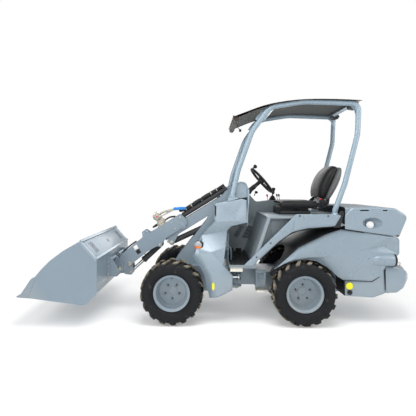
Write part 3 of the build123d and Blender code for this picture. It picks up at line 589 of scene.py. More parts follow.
# Lug stations from the middle of the tread to the side wall: across, crown radius, root across, root radius,
# sweep round the tyre and half width
lugStations = [(-6, 295, -6, 268, -27, 13), (22, 295, 22, 268, -20, 15), (62, 294.5, 62, 267, -3, 17),
               (98, 292, 94, 264, 15, 19), (117, 284, 108, 256, 24, 20), (128, 266, 115, 248, 29, 20),
               (133.3, 247, 122, 238, 33, 18), (132.5, 231, 124, 226, 36, 14)]
rimProfile = [(0, 3), (28, 3), (31, 7), (44, 8), (48, 4), (92, 3), (112, 0), (122, 2), (130, 12), (134, 26),
              (138, 30), (143, 62), (144, 84), (150, 92), (158, 95), (162, 98), (168, 98), (171, 95),
              (170, 91), (152, 90), (152, -90), (170, -92), (170, -97), (160, -98), (146, -97), (139, -88),
              (137, 18), (128, -6), (100, -8), (0, -8)]


def lug(index, side):
    rows = []
    angle = 2 * pi / wheelSize["lugs"] * (index + (0.5 if side > 0 else 0)) + pi / 2
    for across, crown, rootAcross, root, sweep, half in lugStations:
        row = []
        for radius, y, reach in ((root, rootAcross, -half - 4), (crown, across, -half), (crown, across, half),
                                 (root, rootAcross, half + 4)):
            turn = angle + (sweep + reach) / wheelSize["radius"]
            row.append((radius * cos(turn), y * side, radius * sin(turn)))
        rows.append(row)
    piece = skin("lug", rows)
    editAll(piece, "EDGE")
    bpy.ops.mesh.edge_face_add()
    bpy.ops.mesh.select_all(action="SELECT")
    bpy.ops.mesh.normals_make_consistent(inside=False)
    backToObject()
    return rounded(piece, 2.2, 1, 30)


def makeTyre():
    profile = carcassSide + [(radius, -y) for radius, y in reversed(carcassSide[:-1])]
    carcass = turned("carcass", profile, (0, 0, 0), (0, 1, 0), 85)
    bars = [lug(index, side) for index in range(wheelSize["lugs"]) for side in (leftSide, rightSide)]
    whole = joined("tyre", [carcass] + bars)
    dust = whole.data.attributes.new("dust", "FLOAT", "POINT")
    for vertex, value in zip(whole.data.vertices, dust.data):
        out = hypot(vertex.co.x, vertex.co.z) / unit
        value.value = min(1, max(0, (out - 272) / 20)) * (0.55 + 0.45 * abs(vertex.co.y) / (133 * unit))
    return smooth(whole, 32)


def makeRim(boltTurn):
    dish = turned("rim", rimProfile, (0, 0, 0), (0, 1, 0), 72, 28)
    studs = []
    for index in range(wheelSize["bolts"]):
        angle = radians(boltTurn + 360 / wheelSize["bolts"] * index)
        spot = (wheelSize["boltCircle"] * cos(angle), 0, wheelSize["boltCircle"] * sin(angle))
        hole = pin("hole", (spot[0], -4, spot[2]), (spot[0], 20, spot[2]), 18.5)
        cut(dish, hole)
        nut = turned("nut", [(0, -9), (10, -9), (10, -4), (7, -2), (5, -2), (5, 1), (0, 1)], spot, (0, 1, 0),
                     6)
        studs.append(nut)
    valve = pin("valve", (0, 40, 133), (0, 62, 128), 4)
    return smooth(dish, 28), joined("nuts", studs + [valve])


tyreShape = makeTyre()
for end, axleX in wheelSize["axleX"].items():
    rimShape, nutShape = makeRim(wheelSize["boltTurn"][end])
    for side, word in bothSides:
        body = end + "_" + word
        put = Matrix.Translation(place(axleX, side * wheelSize["track"], wheelSize["axleZ"]))
        if side < 0:
            put = put @ Matrix.Scale(-1, 4, Vector((0, 1, 0)))
        dress(copied(tyreShape, body + "Tyre", put), body + "_wheel", "tyre", body + "_tyre")
        dress(copied(rimShape, body + "Rim", put), body + "_wheel", "paint", body + "_rim")
        dress(copied(nutShape, body + "Nuts", put), body + "_wheel", "iron")
    for shape in (rimShape, nutShape):
        bpy.data.objects.remove(shape)
bpy.data.objects.remove(tyreShape)
print("wheels made")

# Fenders: one faceted moulding each, from the lamp housing past the narrow waist to the flap
fenderPoints = {"a": (-84, 386, 1112), "b": (176, 402, 1160), "c": (212, 411, 1150), "d": (218, 414, 940),
                "e": (98, 408, 957), "f": (-86, 398, 952), "g": (40, 374, 1040), "a0": (-86, 100, 1106),
                "b0": (176, 100, 1164), "c0": (214, 100, 1152), "f0": (-88, 100, 950), "h": (-164, 360, 868),
                "i": (-216, 334, 812), "j": (34, 338, 850), "r": (64, 376, 902), "i0": (-214, 318, 806),
                "k": (-10, 478, 554), "l": (-122, 468, 668), "x": (8, 412, 700), "m": (-262, 446, 700),
                "n": (-290, 448, 624), "s": (-222, 476, 640), "v": (-186, 448, 466), "w": (-118, 478, 448),
                "y": (-152, 448, 300), "z": (-78, 478, 288), "p": (-140, 448, 238), "u": (-62, 477, 250),
                "q": (74, 478, 318), "t": (78, 478, 452)}
fenderFaces = ["a b g", "b e g", "e f g", "f a g", "b c d e", "a a0 b0 b", "b b0 c0 c", "a f f0 a0",
               "f e r h", "e d r", "h r j i", "i j x l", "x j k", "x k l", "i l m", "m l s", "m s n",
               "n s v", "s w v", "v w z y", "y z u p", "s l w", "l k w", "k t w", "t q w", "w q z", "z q u",
               "i m i0"]
fenderSize = {"wall": 4, "crease": 7, "markRadius": 21, "lampInner": 206, "lampOuter": 384, "markerX": -240,
              "markerY": 412, "markerZ": 723}
markerFacing = (-0.5, 0.87)
for side, word in bothSides:
    skinPiece = moulding(word + "FenderSkin", side, fenderPoints, fenderFaces, fenderSize["wall"],
                         fenderSize["crease"])
    dress(skinPiece, "front_frame", "moulded", "fender_" + word)
    arch = plate(word + "FenderArch", [(-287, 652, 6), (-287, 625, 10), (-185, 466, 160), (-151, 297, 120),
                                       (-140, 238), (-134, 240), (-145, 297, 120), (-179, 468, 160),
                                       (-281, 627, 10), (-281, 652)], *span(side, 262, 464), 1.5)
    shelf = plate(word + "FenderShelf", [(-262, 706), (-216, 808), (-210, 804), (-256, 702)],
                  *span(side, 300, 440), 1.5)
    dress(joined(word + "FenderLiner", [arch, shelf]), "front_frame", "moulded")
    radius = fenderSize["markRadius"]
    mark = turned(word + "FenderMark", [(0, 0), (radius, 0), (radius - 1, 1.2), (0, 1.4)],
                  (-104, side * 478.5, 352), (0, side, 0), 40)
    dress(stretched(mark, (-104, 0, 352), (0.62, 1, 1.75)), "front_frame", "yellow")
    lampFace = plate(word + "HeadlampGlass", [(-89.5, 1088, 8), (-89.5, 1002, 8), (-78, 1002), (-78, 1088)],
                     *span(side, fenderSize["lampInner"], fenderSize["lampOuter"]), 2)
    dress(lampFace, "front_frame", "lens", "headlights")
    bezel = plate(word + "HeadlampBezel", [(-88, 1098, 8), (-88, 992, 8), (-74, 992), (-74, 1098)],
                  *span(side, 196, 393), 3)
    dress(bezel, "front_frame", "black")
    base = turned(word + "MarkerBase", [(0, -60), (30, -60), (44, -12), (46, 0), (46, 8), (43, 11), (0, 11)],
                  (fenderSize["markerX"], side * fenderSize["markerY"], fenderSize["markerZ"]),
                  (markerFacing[0], side * markerFacing[1], 0), 40)
    dress(base, "front_frame", "black", "marker_lamps")
    for part, finish, flip in (("Clear", "lens", 1), ("Amber", "amber", -1)):
        dome = turned(word + "Marker" + part,
                      [(0, 0), (41, 0), (41, 6), (38, 14), (30, 20), (16, 24), (0, 25)],
                      (-245, side * 421, fenderSize["markerZ"]),
                      (markerFacing[0], side * markerFacing[1], 0), 40)
        editAll(dome, "FACE")
        bpy.ops.mesh.bisect(plane_co=place(-245, side * 421, 719 + flip), plane_no=(0, 0, flip),
                            clear_inner=True, use_fill=True)
        backToObject()
        dress(smooth(dome, 40), "front_frame", finish)
print("fenders and front lamps made")

# Rear body: faceted side mouldings with the long crease, wedge creases ahead of the lamp pod, sheets between
bodyPoints = {"t0": (470, 424, 510), "t1": (691, 414, 712), "t2": (956, 412, 838), "t3": (1088, 416, 882),
              "t4": (1340, 426, 845), "t5": (1606, 433, 805), "t6": (1621, 430, 788), "e1": (1621, 431, 655),
              "e2": (1560, 434, 600), "e3": (1500, 438, 547), "c1": (555, 443, 558), "c2": (650, 445, 596),
              "c3": (821, 446, 622), "c4": (1024, 446, 638), "c5": (1300, 446, 579), "c6": (1472, 444, 547),
              "a0": (468, 436, 503), "a1": (548, 435, 547), "a2": (650, 434, 588), "a3": (745, 433, 602),
              "a4": (857, 428, 588), "a5": (963, 420, 526), "a6": (1060, 414, 437), "a7": (1122, 412, 400),
              "b0": (1124, 428, 262), "b1": (1376, 432, 248), "b2": (1462, 432, 278), "b3": (1488, 432, 290),
              "s1": (1376, 418, 394), "s2": (1446, 420, 438), "s3": (1480, 428, 500), "w0": (1262, 438, 684),
              "w1": (1524, 446, 800), "w2": (1481, 418, 724), "w3": (1440, 448, 668), "p1": (1330, 440, 610)}
bodyFaces = ["a0 a1 c1 t0", "a1 a2 c2 c1", "t0 c1 c2 t1", "a2 a3 c3 c2", "t1 c2 c3 t2", "a3 a4 c4 c3",
             "t2 c3 c4 t3", "a4 a5 c4", "a5 a6 c4", "a6 a7 c4", "t3 c4 w0 t4", "c4 c5 p1 w0", "a7 s1 c5 c4",
             "a7 b0 b1 s1", "s1 b1 b2 s2", "s2 b2 b3 s3", "s1 s2 s3 c5", "s3 e3 c6", "s3 c6 c5",
             "t4 w0 w1 t5", "w1 t6 t5", "w0 w2 w1", "w1 w2 e1 t6", "w0 w3 w2", "w2 w3 e1", "w0 p1 w3",
             "w3 p1 c5", "w3 c5 c6", "w3 c6 e3 e2", "w3 e2 e1"]
bodySize = {"wall": 4, "crease": 7, "lampZ": 594.5, "lampY": 415, "sheetHalf": 430, "axleX": 732,
            "axleZ": 295, "archLong": 330, "archHigh": 306, "archInner": 0.985}
pinX = 138
for side, word in bothSides:
    panel = moulding(word + "BodyPanel", side, bodyPoints, bodyFaces, bodySize["wall"], bodySize["crease"])
    dress(panel, "rear_frame", "moulded", "rear_body")
    pod = turned(word + "LampPod", [(0, 0), (12, 3), (30, 18), (46, 46), (54, 84), (57, 130), (57, 226),
                                    (54, 230), (50, 230), (50, 216), (0, 216)],
                 (1350, side * bodySize["lampY"], bodySize["lampZ"]), (1, 0, 0), 48)
    dress(pod, "rear_frame", "moulded")
    ring = turned(word + "LampRing", [(50, 0), (58.5, 0), (59.5, 4), (59.5, 16), (55, 20), (50, 20)],
                  (1570, side * bodySize["lampY"], bodySize["lampZ"]), (1, 0, 0), 48)
    dress(ring, "rear_frame", "black")
    glass = turned(word + "TailLens", [(0, 0), (50, 0), (50, 14), (44, 26), (26, 33), (0, 36)],
                   (1566, side * bodySize["lampY"], bodySize["lampZ"]), (1, 0, 0), 48)
    dress(glass, "rear_frame", "amber", "rear_lamps")
    seam = plate(word + "BodySeam",
                 [(1124, 402), (1376, 396, 30), (1448, 441), (1450, 438), (1377, 391, 30), (1124, 397)],
                 *span(side, 408, 424), 0.4)
    dress(seam, "rear_frame", "black")
    mark = turned(word + "TailMark", [(0, 0), (33, 0), (32, 1.4), (0, 1.6)], (1165, side * 431.5, 352),
                  (0, side, 0), 40)
    dress(mark, "rear_frame", "yellow")
    plug = turned(word + "BodyPlug", [(0, 0), (23, 0), (23, 3), (17, 4), (14, 1), (0, 1)],
                  (1168, side * 430.5, 292), (0, side, 0), 32)
    dress(plug, "rear_frame", "black")
    axleX, axleZ = bodySize["axleX"], bodySize["axleZ"]
    arch = [(axleX - bodySize["archLong"] * cos(radians(turn)),
             axleZ + bodySize["archHigh"] * sin(radians(turn))) for turn in range(28, 158, 8)]
    inner = [(axleX + (x - axleX) * bodySize["archInner"], axleZ + (z - axleZ) * bodySize["archInner"])
             for x, z in reversed(arch)]
    liner = plate(word + "ArchLiner", arch + inner, *span(side, 286, 434), 1)
    dress(liner, "rear_frame", "black")
topSheet = plate("bodyTopPaintedShade", [(470, 500), (691, 706, 80), (956, 836, 120), (1088, 879, 20), (1604, 802, 10),
                             (1617, 786, 8), (1617, 656, 40), (1500, 549), (1500, 545), (1621, 650, 44),
                             (1621, 790, 12), (1608, 806, 12), (1088, 884, 20), (956, 841, 120),
                             (691, 712, 80), (466, 503)], -bodySize["sheetHalf"], bodySize["sheetHalf"], 1)
noseCut = turned("noseCut", [(0, 480), (508, 480), (508, 680), (0, 680)], (pinX, 0, 0), (0, 0, 1), 64)
cut(topSheet, noseCut)
engineGap = block("engineGap", (1105, -400, 700), (1560, 400, 1000), 0)
cut(topSheet, engineGap)
tailSheet = copied(topSheet, "bodyTail", Matrix.Identity(4))
for sheet, flip in ((topSheet, 1), (tailSheet, -1)):
    editAll(sheet, "FACE")
    bpy.ops.mesh.bisect(plane_co=place(1300, 0, 0), plane_no=(flip, 0, 0), clear_outer=True)
    backToObject()
# The front of the top sheet, in the gap under the side strips, is black as painted shade; the tail keeps the
# body paint
dress(topSheet, "rear_frame", "black")
dress(tailSheet, "rear_frame", "moulded")
lowerTail = plate("bodySill", [(1124, 262), (1376, 248, 20), (1462, 278, 20), (1490, 290), (1490, 302),
                               (1462, 290, 20), (1376, 260, 20), (1128, 274)], -bodySize["sheetHalf"],
                  bodySize["sheetHalf"], 1)
dress(lowerTail, "rear_frame", "moulded")
frontBulkhead = plate("archBulkhead", [(1124, 262), (1124, 402), (1119, 402), (1119, 262)],
                      -bodySize["sheetHalf"], bodySize["sheetHalf"], 1)
dress(frontBulkhead, "rear_frame", "black")
for side, word in bothSides:
    leaf = plate(word + "HingeLeaf", [(1600, 800), (1622, 780), (1650, 830, 8), (1634, 845, 8)],
                 *span(side, 250, 290), 1.5)
    barrelPin = pin(word + "HingePin", (1640, side * 250, 836), (1640, side * 331, 836), 9)
    dress(joined(word + "Hinge", [leaf, barrelPin]), "rear_frame", "zinc")
print("rear body made")

# Hood: a rounded cover with two vents, and on the left the dished filler with its cap
hoodSize = {"half": 440, "wall": 6, "corner": 16, "filler": (1372, 0, 940), "fillerStretch": (1.5, 1, 0.86),
            "vents": ((1299, 84), (1490, 40))}
hoodOutline = [(1092, 885, 0), (1110, 1000, 30), (1184, 1080, 50), (1400, 1087, 120), (1587, 1078, 60),
               (1702, 1004, 50), (1628, 826, 30), (1610, 807, 0)]
hoodInside = [(1080, 870), (1116, 996, 30), (1188, 1074, 50), (1400, 1081, 120), (1585, 1072, 60),
              (1694, 1002, 50), (1618, 826, 30), (1600, 790)]
cover = plate("hoodCover", hoodOutline, -hoodSize["half"], hoodSize["half"], hoodSize["corner"], segments=4,
              step=7)
hollowHalf = hoodSize["half"] - hoodSize["wall"]
cut(cover, plate("hoodHollow", hoodInside, -hollowHalf, hollowHalf, 12, segments=4, step=7))
cut(cover, turned("hoodNose", [(0, 700), (1077, 700), (1077, 1200), (0, 1200)], (pinX, 0, 0), (0, 0, 1), 160))
dish = turned("dish", [(0, -60), (30, -56), (52, -38), (60, -12), (60, 8), (0, 8)], (1372, -440, 940),
              (0, -1, 0), 48)
cut(cover, stretched(dish, hoodSize["filler"], hoodSize["fillerStretch"]))
for ventX, ventLength in hoodSize["vents"]:
    cut(cover, block("vent", (ventX - ventLength / 2, -450, 1052), (ventX + ventLength / 2, -405, 1063), 3))
dress(smooth(cover, 30), "hood_lid", "moulded", "hood")
bowl = turned("fillerBowl",
              [(58, 0), (50, -26), (30, -44), (0, -48), (0, -51), (32, -47), (53, -29), (61, -1)],
              (1372, -437, 940), (0, -1, 0), 48)
dress(outwards(stretched(bowl, hoodSize["filler"], hoodSize["fillerStretch"])), "hood_lid", "moulded")
cap = turned("fillerCap", [(0, 0), (30, 0), (34, 3), (34, 16), (30, 21), (14, 22), (12, 26), (0, 26)],
             (1360, -402, 922), (0, -1, 0), 40)
dress(cap, "hood_lid", "white")
for side, word in bothSides:
    knuckle = pin(word + "HoodKnuckle", (1640, side * 291, 836), (1640, side * 331, 836), 11)
    arm = plate(word + "HoodArm", [(1624, 850), (1640, 826, 8), (1652, 836, 8), (1660, 880)],
                *span(side, 296, 328), 1.5)
    dress(joined(word + "HoodHinge", [knuckle, arm]), "hood_lid", "zinc")
    latch = block(word + "HoodLatch", (1586, side * 437 - 5, 815), (1616, side * 437 + 5, 828), 2)
    dress(latch, "hood_lid", "black")
print("hood made")

# Along the boom from its pivot, and square to it
boomSlope = radians(31.8)


def onBoom(along, above, y=0.0):
    return (110 - along * cos(boomSlope) - above * sin(boomSlope), y,
            1197 - along * sin(boomSlope) + above * cos(boomSlope))


# Corners of a side-view outline given along the boom and square to it, with an optional rounding radius
def boomOutline(*corners):
    outline = []
    for along, above, *radius in corners:
        x, y, z = onBoom(along, above)
        outline.append((x, z, *radius))
    return outline


# Side strips: a rail with two raised panels, and the rubber lip that seals its rear end
stripOutline = [(178, 536, 8), (610, 962, 60), (668, 1021, 50), (1002, 1022, 30), (1086, 1013, 12),
                (1024, 912, 20), (773, 892, 90), (633, 857, 60), (509, 767, 80), (332, 606, 30),
                (262, 536, 8)]
stripFront = [(206, 545, 6), (612, 946, 40), (648, 978, 10), (628, 862, 30), (507, 776, 60), (332, 618, 30),
              (258, 550, 6)]
stripRear = [(664, 992, 10), (674, 1008, 10), (1000, 1010, 20), (1064, 1003, 10), (1016, 925, 12),
             (772, 905, 60), (644, 872, 10)]
for side, word in bothSides:
    rail = plate(word + "Rail", stripOutline, *span(side, 430.2, 454), 5, segments=3, step=7)
    front = plate(word + "RailFront", stripFront, *span(side, 450, 458.5), 3, segments=3, step=7)
    rear = plate(word + "RailRear", stripRear, *span(side, 450, 458.5), 3, segments=3, step=7)
    dress(joined(word + "SideStrip", [rail, front, rear]), "front_frame", "moulded", "side_strips")
    seal = plate(word + "SealLip", [(1066, 1018, 4), (1100, 1054, 6), (1112, 1036, 6), (1076, 902, 6),
                                    (1060, 896, 6), (1016, 896, 6), (1020, 914, 4), (1078, 1010, 4)],
                 *span(side, 396, 448), 3, segments=3)
    dress(seal, "front_frame", "rubber")
    edge = tube(word + "SealEdge", [(1022, side * 430, 906), (900, side * 430, 897), (773, side * 430, 886),
                                    (633, side * 430, 851), (509, side * 430, 760), (400, side * 430, 660)],
                6)
    dress(edge, "front_frame", "rubber")
    for spot in ((700, 1006), (960, 1006), (430, 752), (300, 622)):
        stud = turned(word + "RailBolt", [(0, 0), (8, 0), (7, 3), (3.5, 4.5), (0, 4.6)],
                      (spot[0], side * 458.4, spot[1]), (0, side, 0), 16)
        dress(stud, "front_frame", "iron")
print("side strips made")

# Roof: a crowned thin sheet over its liner, brackets and feet on the tubes, lamps at the back
roofSize = {"halfWidth": 400, "wall": 4, "linerDrop": 12, "linerHalf": 372, "crown": 5, "brim": 9,
            "bracketOut": 334, "tubeY": 355}
roofLine = [(90, 1953), (168, 1982), (250, 2012), (350, 2050), (450, 2076), (600, 2101), (760, 2116),
            (960, 2116), (1180, 2108), (1300, 2099)]


def roofSkin(name, half, lift, wall, line):
    rows = []
    for share in (-1, -0.985, -0.95, -0.8, -0.5, 0, 0.5, 0.8, 0.95, 0.985, 1):
        fall = roofSize["brim"] * max(0, abs(share) - 0.9) * 10 if abs(share) > 0.9 else 0
        rows.append([(x, half * share, z + lift - fall - roofSize["crown"] * share * share) for x, z in line])
    return skin(name, rows, wall, 1.2, 1)


dress(roofSkin("canopySheet", roofSize["halfWidth"], 6, roofSize["wall"], roofLine), "front_frame", "roof",
      "canopy")
linerLine = [(128, 1960)] + roofLine[2:-1] + [(1284, 2096)]
dress(roofSkin("canopyLiner", roofSize["linerHalf"], -roofSize["linerDrop"] + 6, 3, linerLine),
      "front_frame", "liner")
brim = tube("roofBrim", [(92, y, 1953 - 4 * abs(y) / 400) for y in (-396, -300, -150, 0, 150, 300, 396)], 7)
dress(brim, "front_frame", "roof")
roofBolts = ((330, 1960), (356, 1998), (452, 2058), (1226, 2052), (1282, 2036))
for side, word in bothSides:
    gusset = plate(word + "RoofBracket", [(300, 1930, 6), (352, 2000, 30), (424, 2062, 30), (520, 2076, 10),
                                          (500, 2048, 10), (404, 2010, 40), (330, 1922, 6)],
                   *span(side, 326, 334), 1.5)
    rearGusset = plate(word + "RearBracket", [(1196, 2050, 8), (1300, 2066, 8), (1296, 2004, 10),
                                              (1262, 1960, 10), (1240, 2030, 30)], *span(side, 326, 334),
                       1.5)
    dress(joined(word + "RoofGussets", [gusset, rearGusset]), "front_frame", "frameTube")
    boltRow(word + "RoofBolt", [(x, side * roofSize["bracketOut"], z) for x, z in roofBolts], (0, side, 0), 8,
            "front_frame")
    foot = turned(word + "TubeCollar", [(25.2, 0), (33, 0), (34, 2), (34, 14), (32, 17), (25.2, 17)],
                  (80, side * roofSize["tubeY"], 1178), (0.06, 0, 1), 40)
    rearFoot = turned(word + "TubeFoot", [(25.2, 0), (36, 0), (37, 2), (34, 7), (27, 14), (25.2, 20)],
                      (1056, side * roofSize["tubeY"], 1010.6), (0, 0, 1), 40)
    dress(joined(word + "TubeFeet", [foot, rearFoot]), "front_frame", "frameTube")
    boltRow(word + "FootBolt",
            [(x, side * (roofSize["tubeY"] + y), 1010.4) for y in (33, -33) for x in (1024, 1088)],
            (0, 0, 1), 8, "front_frame")
loop = tube("liftLoop", [(700, 0, 2104), (704, 0, 2124), (728, 0, 2136), (752, 0, 2124), (756, 0, 2104)], 6)
dress(loop, "front_frame", "frameTube")
for side, word in bothSides:
    wedge = plate(word + "RoofLamp", [(1216, 2072, 8), (1222, 2040, 10), (1286, 2030, 12), (1300, 2062, 10),
                                      (1290, 2076, 6)], *span(side, 210, 300), 4, segments=3)
    dress(wedge, "front_frame", "black")
    face = plate(word + "RoofLampFace", [(1290, 2036, 4), (1301, 2060, 4), (1304, 2056, 4), (1293, 2033, 4)],
                 *span(side, 218, 292), 1)
    dress(face, "front_frame", "lens")
print("roof made")

# Rolled curtain under the roof's front edge, with two straps and a hanging buckle
curtainSize = {"middle": (120, 0, 1928.8), "half": 380, "straps": (-250, 250), "wave": 1.1, "pinch": 2.5}
half = curtainSize["half"]
roll = turned("curtainRoll", [(0, -half), (12, -half - 1), (22, 2 - half)]
              + [(26, y) for y in range(8 - half, half - 7, 12)]
              + [(22, half - 2), (12, half + 1), (0, half)],
              curtainSize["middle"], (0, 1, 0), 64, 60)
curtainMiddle = place(*curtainSize["middle"])
for vertex in roll.data.vertices:
    arm = vertex.co - curtainMiddle
    y = arm.y / unit
    arm.y = 0
    angle = atan2(arm.z, arm.x)
    pinch = min(1, min(abs(y - strap) for strap in curtainSize["straps"]) / 40)
    wave = (sin(5 * angle + y * 0.021) + 0.7 * sin(9 * angle - y * 0.034 + 1.3)
            + 0.5 * sin(3 * angle + y * 0.011))
    vertex.co += arm.normalized() * (wave * curtainSize["wave"] - curtainSize["pinch"] * (1 - pinch)) * unit
applied(roll, "SUBSURF", levels=1)
dress(smooth(roll, 60), "front_frame", "cloth", "curtain_roll")
for y in curtainSize["straps"]:
    band = turned("curtainStrap", [(25, -12), (28, -12), (28.6, -10), (28.6, 10), (28, 12), (25, 12)],
                  (120, y, 1928.8), (0, 1, 0), 48)
    hanger = plate("strapHanger", [(104, 1950), (108, 1952), (136, 1964), (140, 1960)], y - 12, y + 12, 0.6)
    dress(joined("strap", [band, hanger]), "front_frame", "black")
tail = plate("strapTail", [(134, 1900, 2), (150, 1856, 10), (168, 1842, 2), (165, 1840, 2), (147, 1854, 10),
                           (131, 1900, 2)], -262, -240, 0.6)
dress(tail, "front_frame", "black")
clip = block("strapClip", (154, -266, 1822), (176, -236, 1846), 3)
dress(clip, "front_frame", "black")
print("curtain made")


# A padded body: closed rows of points from one end to the other, both ends closed
def padding(name, rows, levels=1):
    piece = closedEnds(skin(name, rows, closed=True))
    return applied(piece, "SUBSURF", levels=levels) if levels else rounded(piece, 1, 1, 40)


# The cover settles over its foam: it is remeshed, inflated a little and held near its own shape
clothSize = {"voxel": 6, "pressure": 3.0, "limit": 5, "mass": 0.3, "stretch": 30, "bend": 3, "frames": 20}


def stuffed(piece):
    applied(piece, "REMESH", mode="VOXEL", voxel_size=clothSize["voxel"] * unit)
    start = [vertex.co.copy() for vertex in piece.data.vertices]
    cloth = addModifier(piece, "CLOTH")
    cloth.settings.quality = 5
    cloth.settings.mass = clothSize["mass"]
    cloth.settings.tension_stiffness = clothSize["stretch"]
    cloth.settings.compression_stiffness = clothSize["stretch"]
    cloth.settings.bending_stiffness = clothSize["bend"]
    cloth.settings.use_pressure = True
    cloth.settings.uniform_pressure_force = clothSize["pressure"]
    cloth.settings.effector_weights.gravity = 0
    for step in range(1, clothSize["frames"] + 1):
        bpy.context.scene.frame_set(step)
    pickOnly(piece)
    bpy.ops.object.modifier_apply(modifier=cloth.name)
    bpy.context.scene.frame_set(1)
    for vertex, before in zip(piece.data.vertices, start):
        move = vertex.co - before
        if move.length > clothSize["limit"] * unit:
            vertex.co = before + move.normalized() * clothSize["limit"] * unit
    return smooth(applied(piece, "SUBSURF", levels=1), 60)


# One closed ring of a cushion, between an under side and an upper side, with squared ends
def ring(centre, along, across, halfAlong, halfAcross, power=4.0, count=24):
    points = []
    for index in range(count):
        angle = 2 * pi * index / count
        c = abs(cos(angle)) ** (2 / power) * (1 if cos(angle) >= 0 else -1)
        s = abs(sin(angle)) ** (2 / power) * (1 if sin(angle) >= 0 else -1)
        points.append(tuple(Vector(centre) + Vector(along) * halfAlong * s + Vector(across) * halfAcross * c))
    return points


# Seat: a cushion with side bolsters, a tall rounded back in its hard shell, belt and buckle
seatSize = {"halfWidth": 228, "cushion": [(548, 1098, 24), (575, 1098, 38), (640, 1100, 42), (740, 1099, 40),
                                         (840, 1098, 40), (905, 1098, 40), (950, 1098, 30), (968, 1098, 18)]}
seatRows = []
for x, z, half in seatSize["cushion"]:
    narrow = {548: 0.80, 575: 0.95, 968: 0.86}.get(x, 1.0)
    seatRows.append(ring((x, 0, z), (0, 0, 1), (0, 1, 0), half, seatSize["halfWidth"] * narrow, 3.6, 28))
cushion = padding("seatCushion", seatRows, 2)
for vertex in cushion.data.vertices:
    x, y, z = vertex.co / unit
    if z > 1098:
        hollow = 16 * max(0, 1 - (abs(y) / 150) ** 4) * max(0, min(1, (x - 590) / 60))
        ribs = 2.2 * abs(sin((y + 150) * pi / 60)) if abs(y) < 150 and 610 < x < 900 else 0
        vertex.co.z -= (hollow - ribs) * unit
dress(stuffed(cushion), "front_frame", "seat", "seat_cushion")

backStations = [(966, 1132, 24, 150), (958, 1165, 38, 186), (955, 1239, 54, 206), (974, 1305, 60, 213),
                (1003, 1370, 60, 212), (1044, 1428, 52, 200), (1094, 1474, 36, 172), (1134, 1500, 20, 122)]
backRows = []
shellRows = []
lean = Vector((0.93, 0, -0.36)).normalized()
for x, z, half, width in backStations:
    backRows.append(ring((x + half, 0, z + 3), lean, (0, 1, 0), half, width, 2.9, 28))
    shellRows.append(ring((x + half * 2 + 10, 0, z - half * 0.35), lean, (0, 1, 0), half * 0.8, width + 7,
                          2.6, 28))
back = padding("seatBack", backRows, 2)
dress(stuffed(back), "front_frame", "seat", "seat_back")
shell = padding("seatShell", shellRows, 2)
dress(smooth(shell, 60), "front_frame", "shell")
seatPan = plate("seatPan", [(566, 1062, 6), (556, 1074, 6), (960, 1074, 10), (1040, 1112, 20),
                            (1056, 1180, 10), (1064, 1176, 10), (1052, 1100, 24), (970, 1060, 16)], -196,
                196, 3)
dress(seatPan, "front_frame", "black")
for side, word in bothSides:
    hinge = plate(word + "SeatHinge", [(900, 1050, 8), (892, 1104, 20), (960, 1128, 30), (1010, 1176, 14),
                                       (1032, 1166, 14), (1000, 1100, 30), (960, 1048, 12)],
                  *span(side, 205, 216), 2)
    dress(hinge, "front_frame", "black")
    boltRow(word + "SeatBolt", [(1012, side * 216, 1148), (936, side * 216, 1072)], (0, side, 0), 9,
            "front_frame")
    rail = block(word + "SeatRail", (580, side * 150 - 16, 1010), (880, side * 150 + 16, 1032), 2)
    dress(rail, "front_frame", "iron")
stalk = plate("buckleStalk", [(1000, 1060, 4), (1014, 1066, 4), (962, 1128, 4), (950, 1122, 4)], -236, -228,
              1.5)
dress(stalk, "front_frame", "black")
buckle = plate("buckle", [(962, 1112, 5), (984, 1122, 5), (964, 1158, 6), (940, 1148, 6)], -244, -222, 4,
               segments=3)
dress(buckle, "front_frame", "black")
press = plate("buckleButton", [(944, 1142, 3), (966, 1152, 3), (962, 1163, 4), (938, 1153, 4)], -243, -223, 3)
dress(press, "front_frame", "red")
bellows = [(0, 0)] + [(150 + (7 if index % 2 else 0), index * 6) for index in range(8)] + [(0, 42)]
suspension = turned("seatBellows", bellows, (740, 0, 1012), (0, 0, 1), 40)
dress(suspension, "front_frame", "rubber")
print("seat made")

# Steering wheel: a grip with finger waves, three flat spokes, a padded hub and the spinner knob
wheelHub = Vector((388, 0, 1326))
columnFoot = Vector((273, 0, 1227))
wheelAxis = (wheelHub - columnFoot).normalized()
wheelCentre = wheelHub + wheelAxis * 30
wheelUp = acrossAxis.cross(wheelAxis).normalized()
gripSize = {"radius": 155, "thick": 13.4, "wave": 1.0, "around": 72, "section": 14}


# The way out from the wheel's hub at a turn in radians
def wheelOut(angle):
    return acrossAxis * cos(angle) + wheelUp * sin(angle)


gripRows = []
for index in range(gripSize["around"]):
    out = wheelOut(2 * pi * index / gripSize["around"])
    thick = gripSize["thick"] + gripSize["wave"] * (index % 3 == 0)
    gripRows.append([tuple(wheelCentre + out * (gripSize["radius"] + thick * cos(turn))
                           + wheelAxis * thick * sin(turn))
                     for turn in (2 * pi * part / gripSize["section"]
                                  for part in range(gripSize["section"]))])
gripRows.append(gripRows[0])
grip = outwards(skin("steeringGrip", gripRows, closed=True))
hubCap = turned("steeringHub", [(0, 0), (26, 0), (33, 6), (36, 20), (36, 34), (30, 44), (16, 48), (0, 49)],
                wheelHub, wheelAxis, 40)
spokes = []
for angle in (radians(90), radians(210), radians(330)):
    out = wheelOut(angle)
    across = wheelAxis.cross(out).normalized()
    rows = []
    for reach, half, thick, rise in ((20, 22, 7, 24), (60, 15, 5, 26), (110, 12, 5, 29), (152, 15, 5, 30)):
        rows.append(ring(wheelHub + wheelAxis * rise + out * reach, wheelAxis, across, thick, half, 3, 12))
    spokes.append(padding("spoke", rows, 1))
dress(smooth(joined("steeringWheel", [grip, hubCap] + spokes), 50), "steering_wheel_body", "black",
      "steering_wheel")
knobFoot = wheelCentre - wheelOut(radians(100)) * gripSize["radius"]
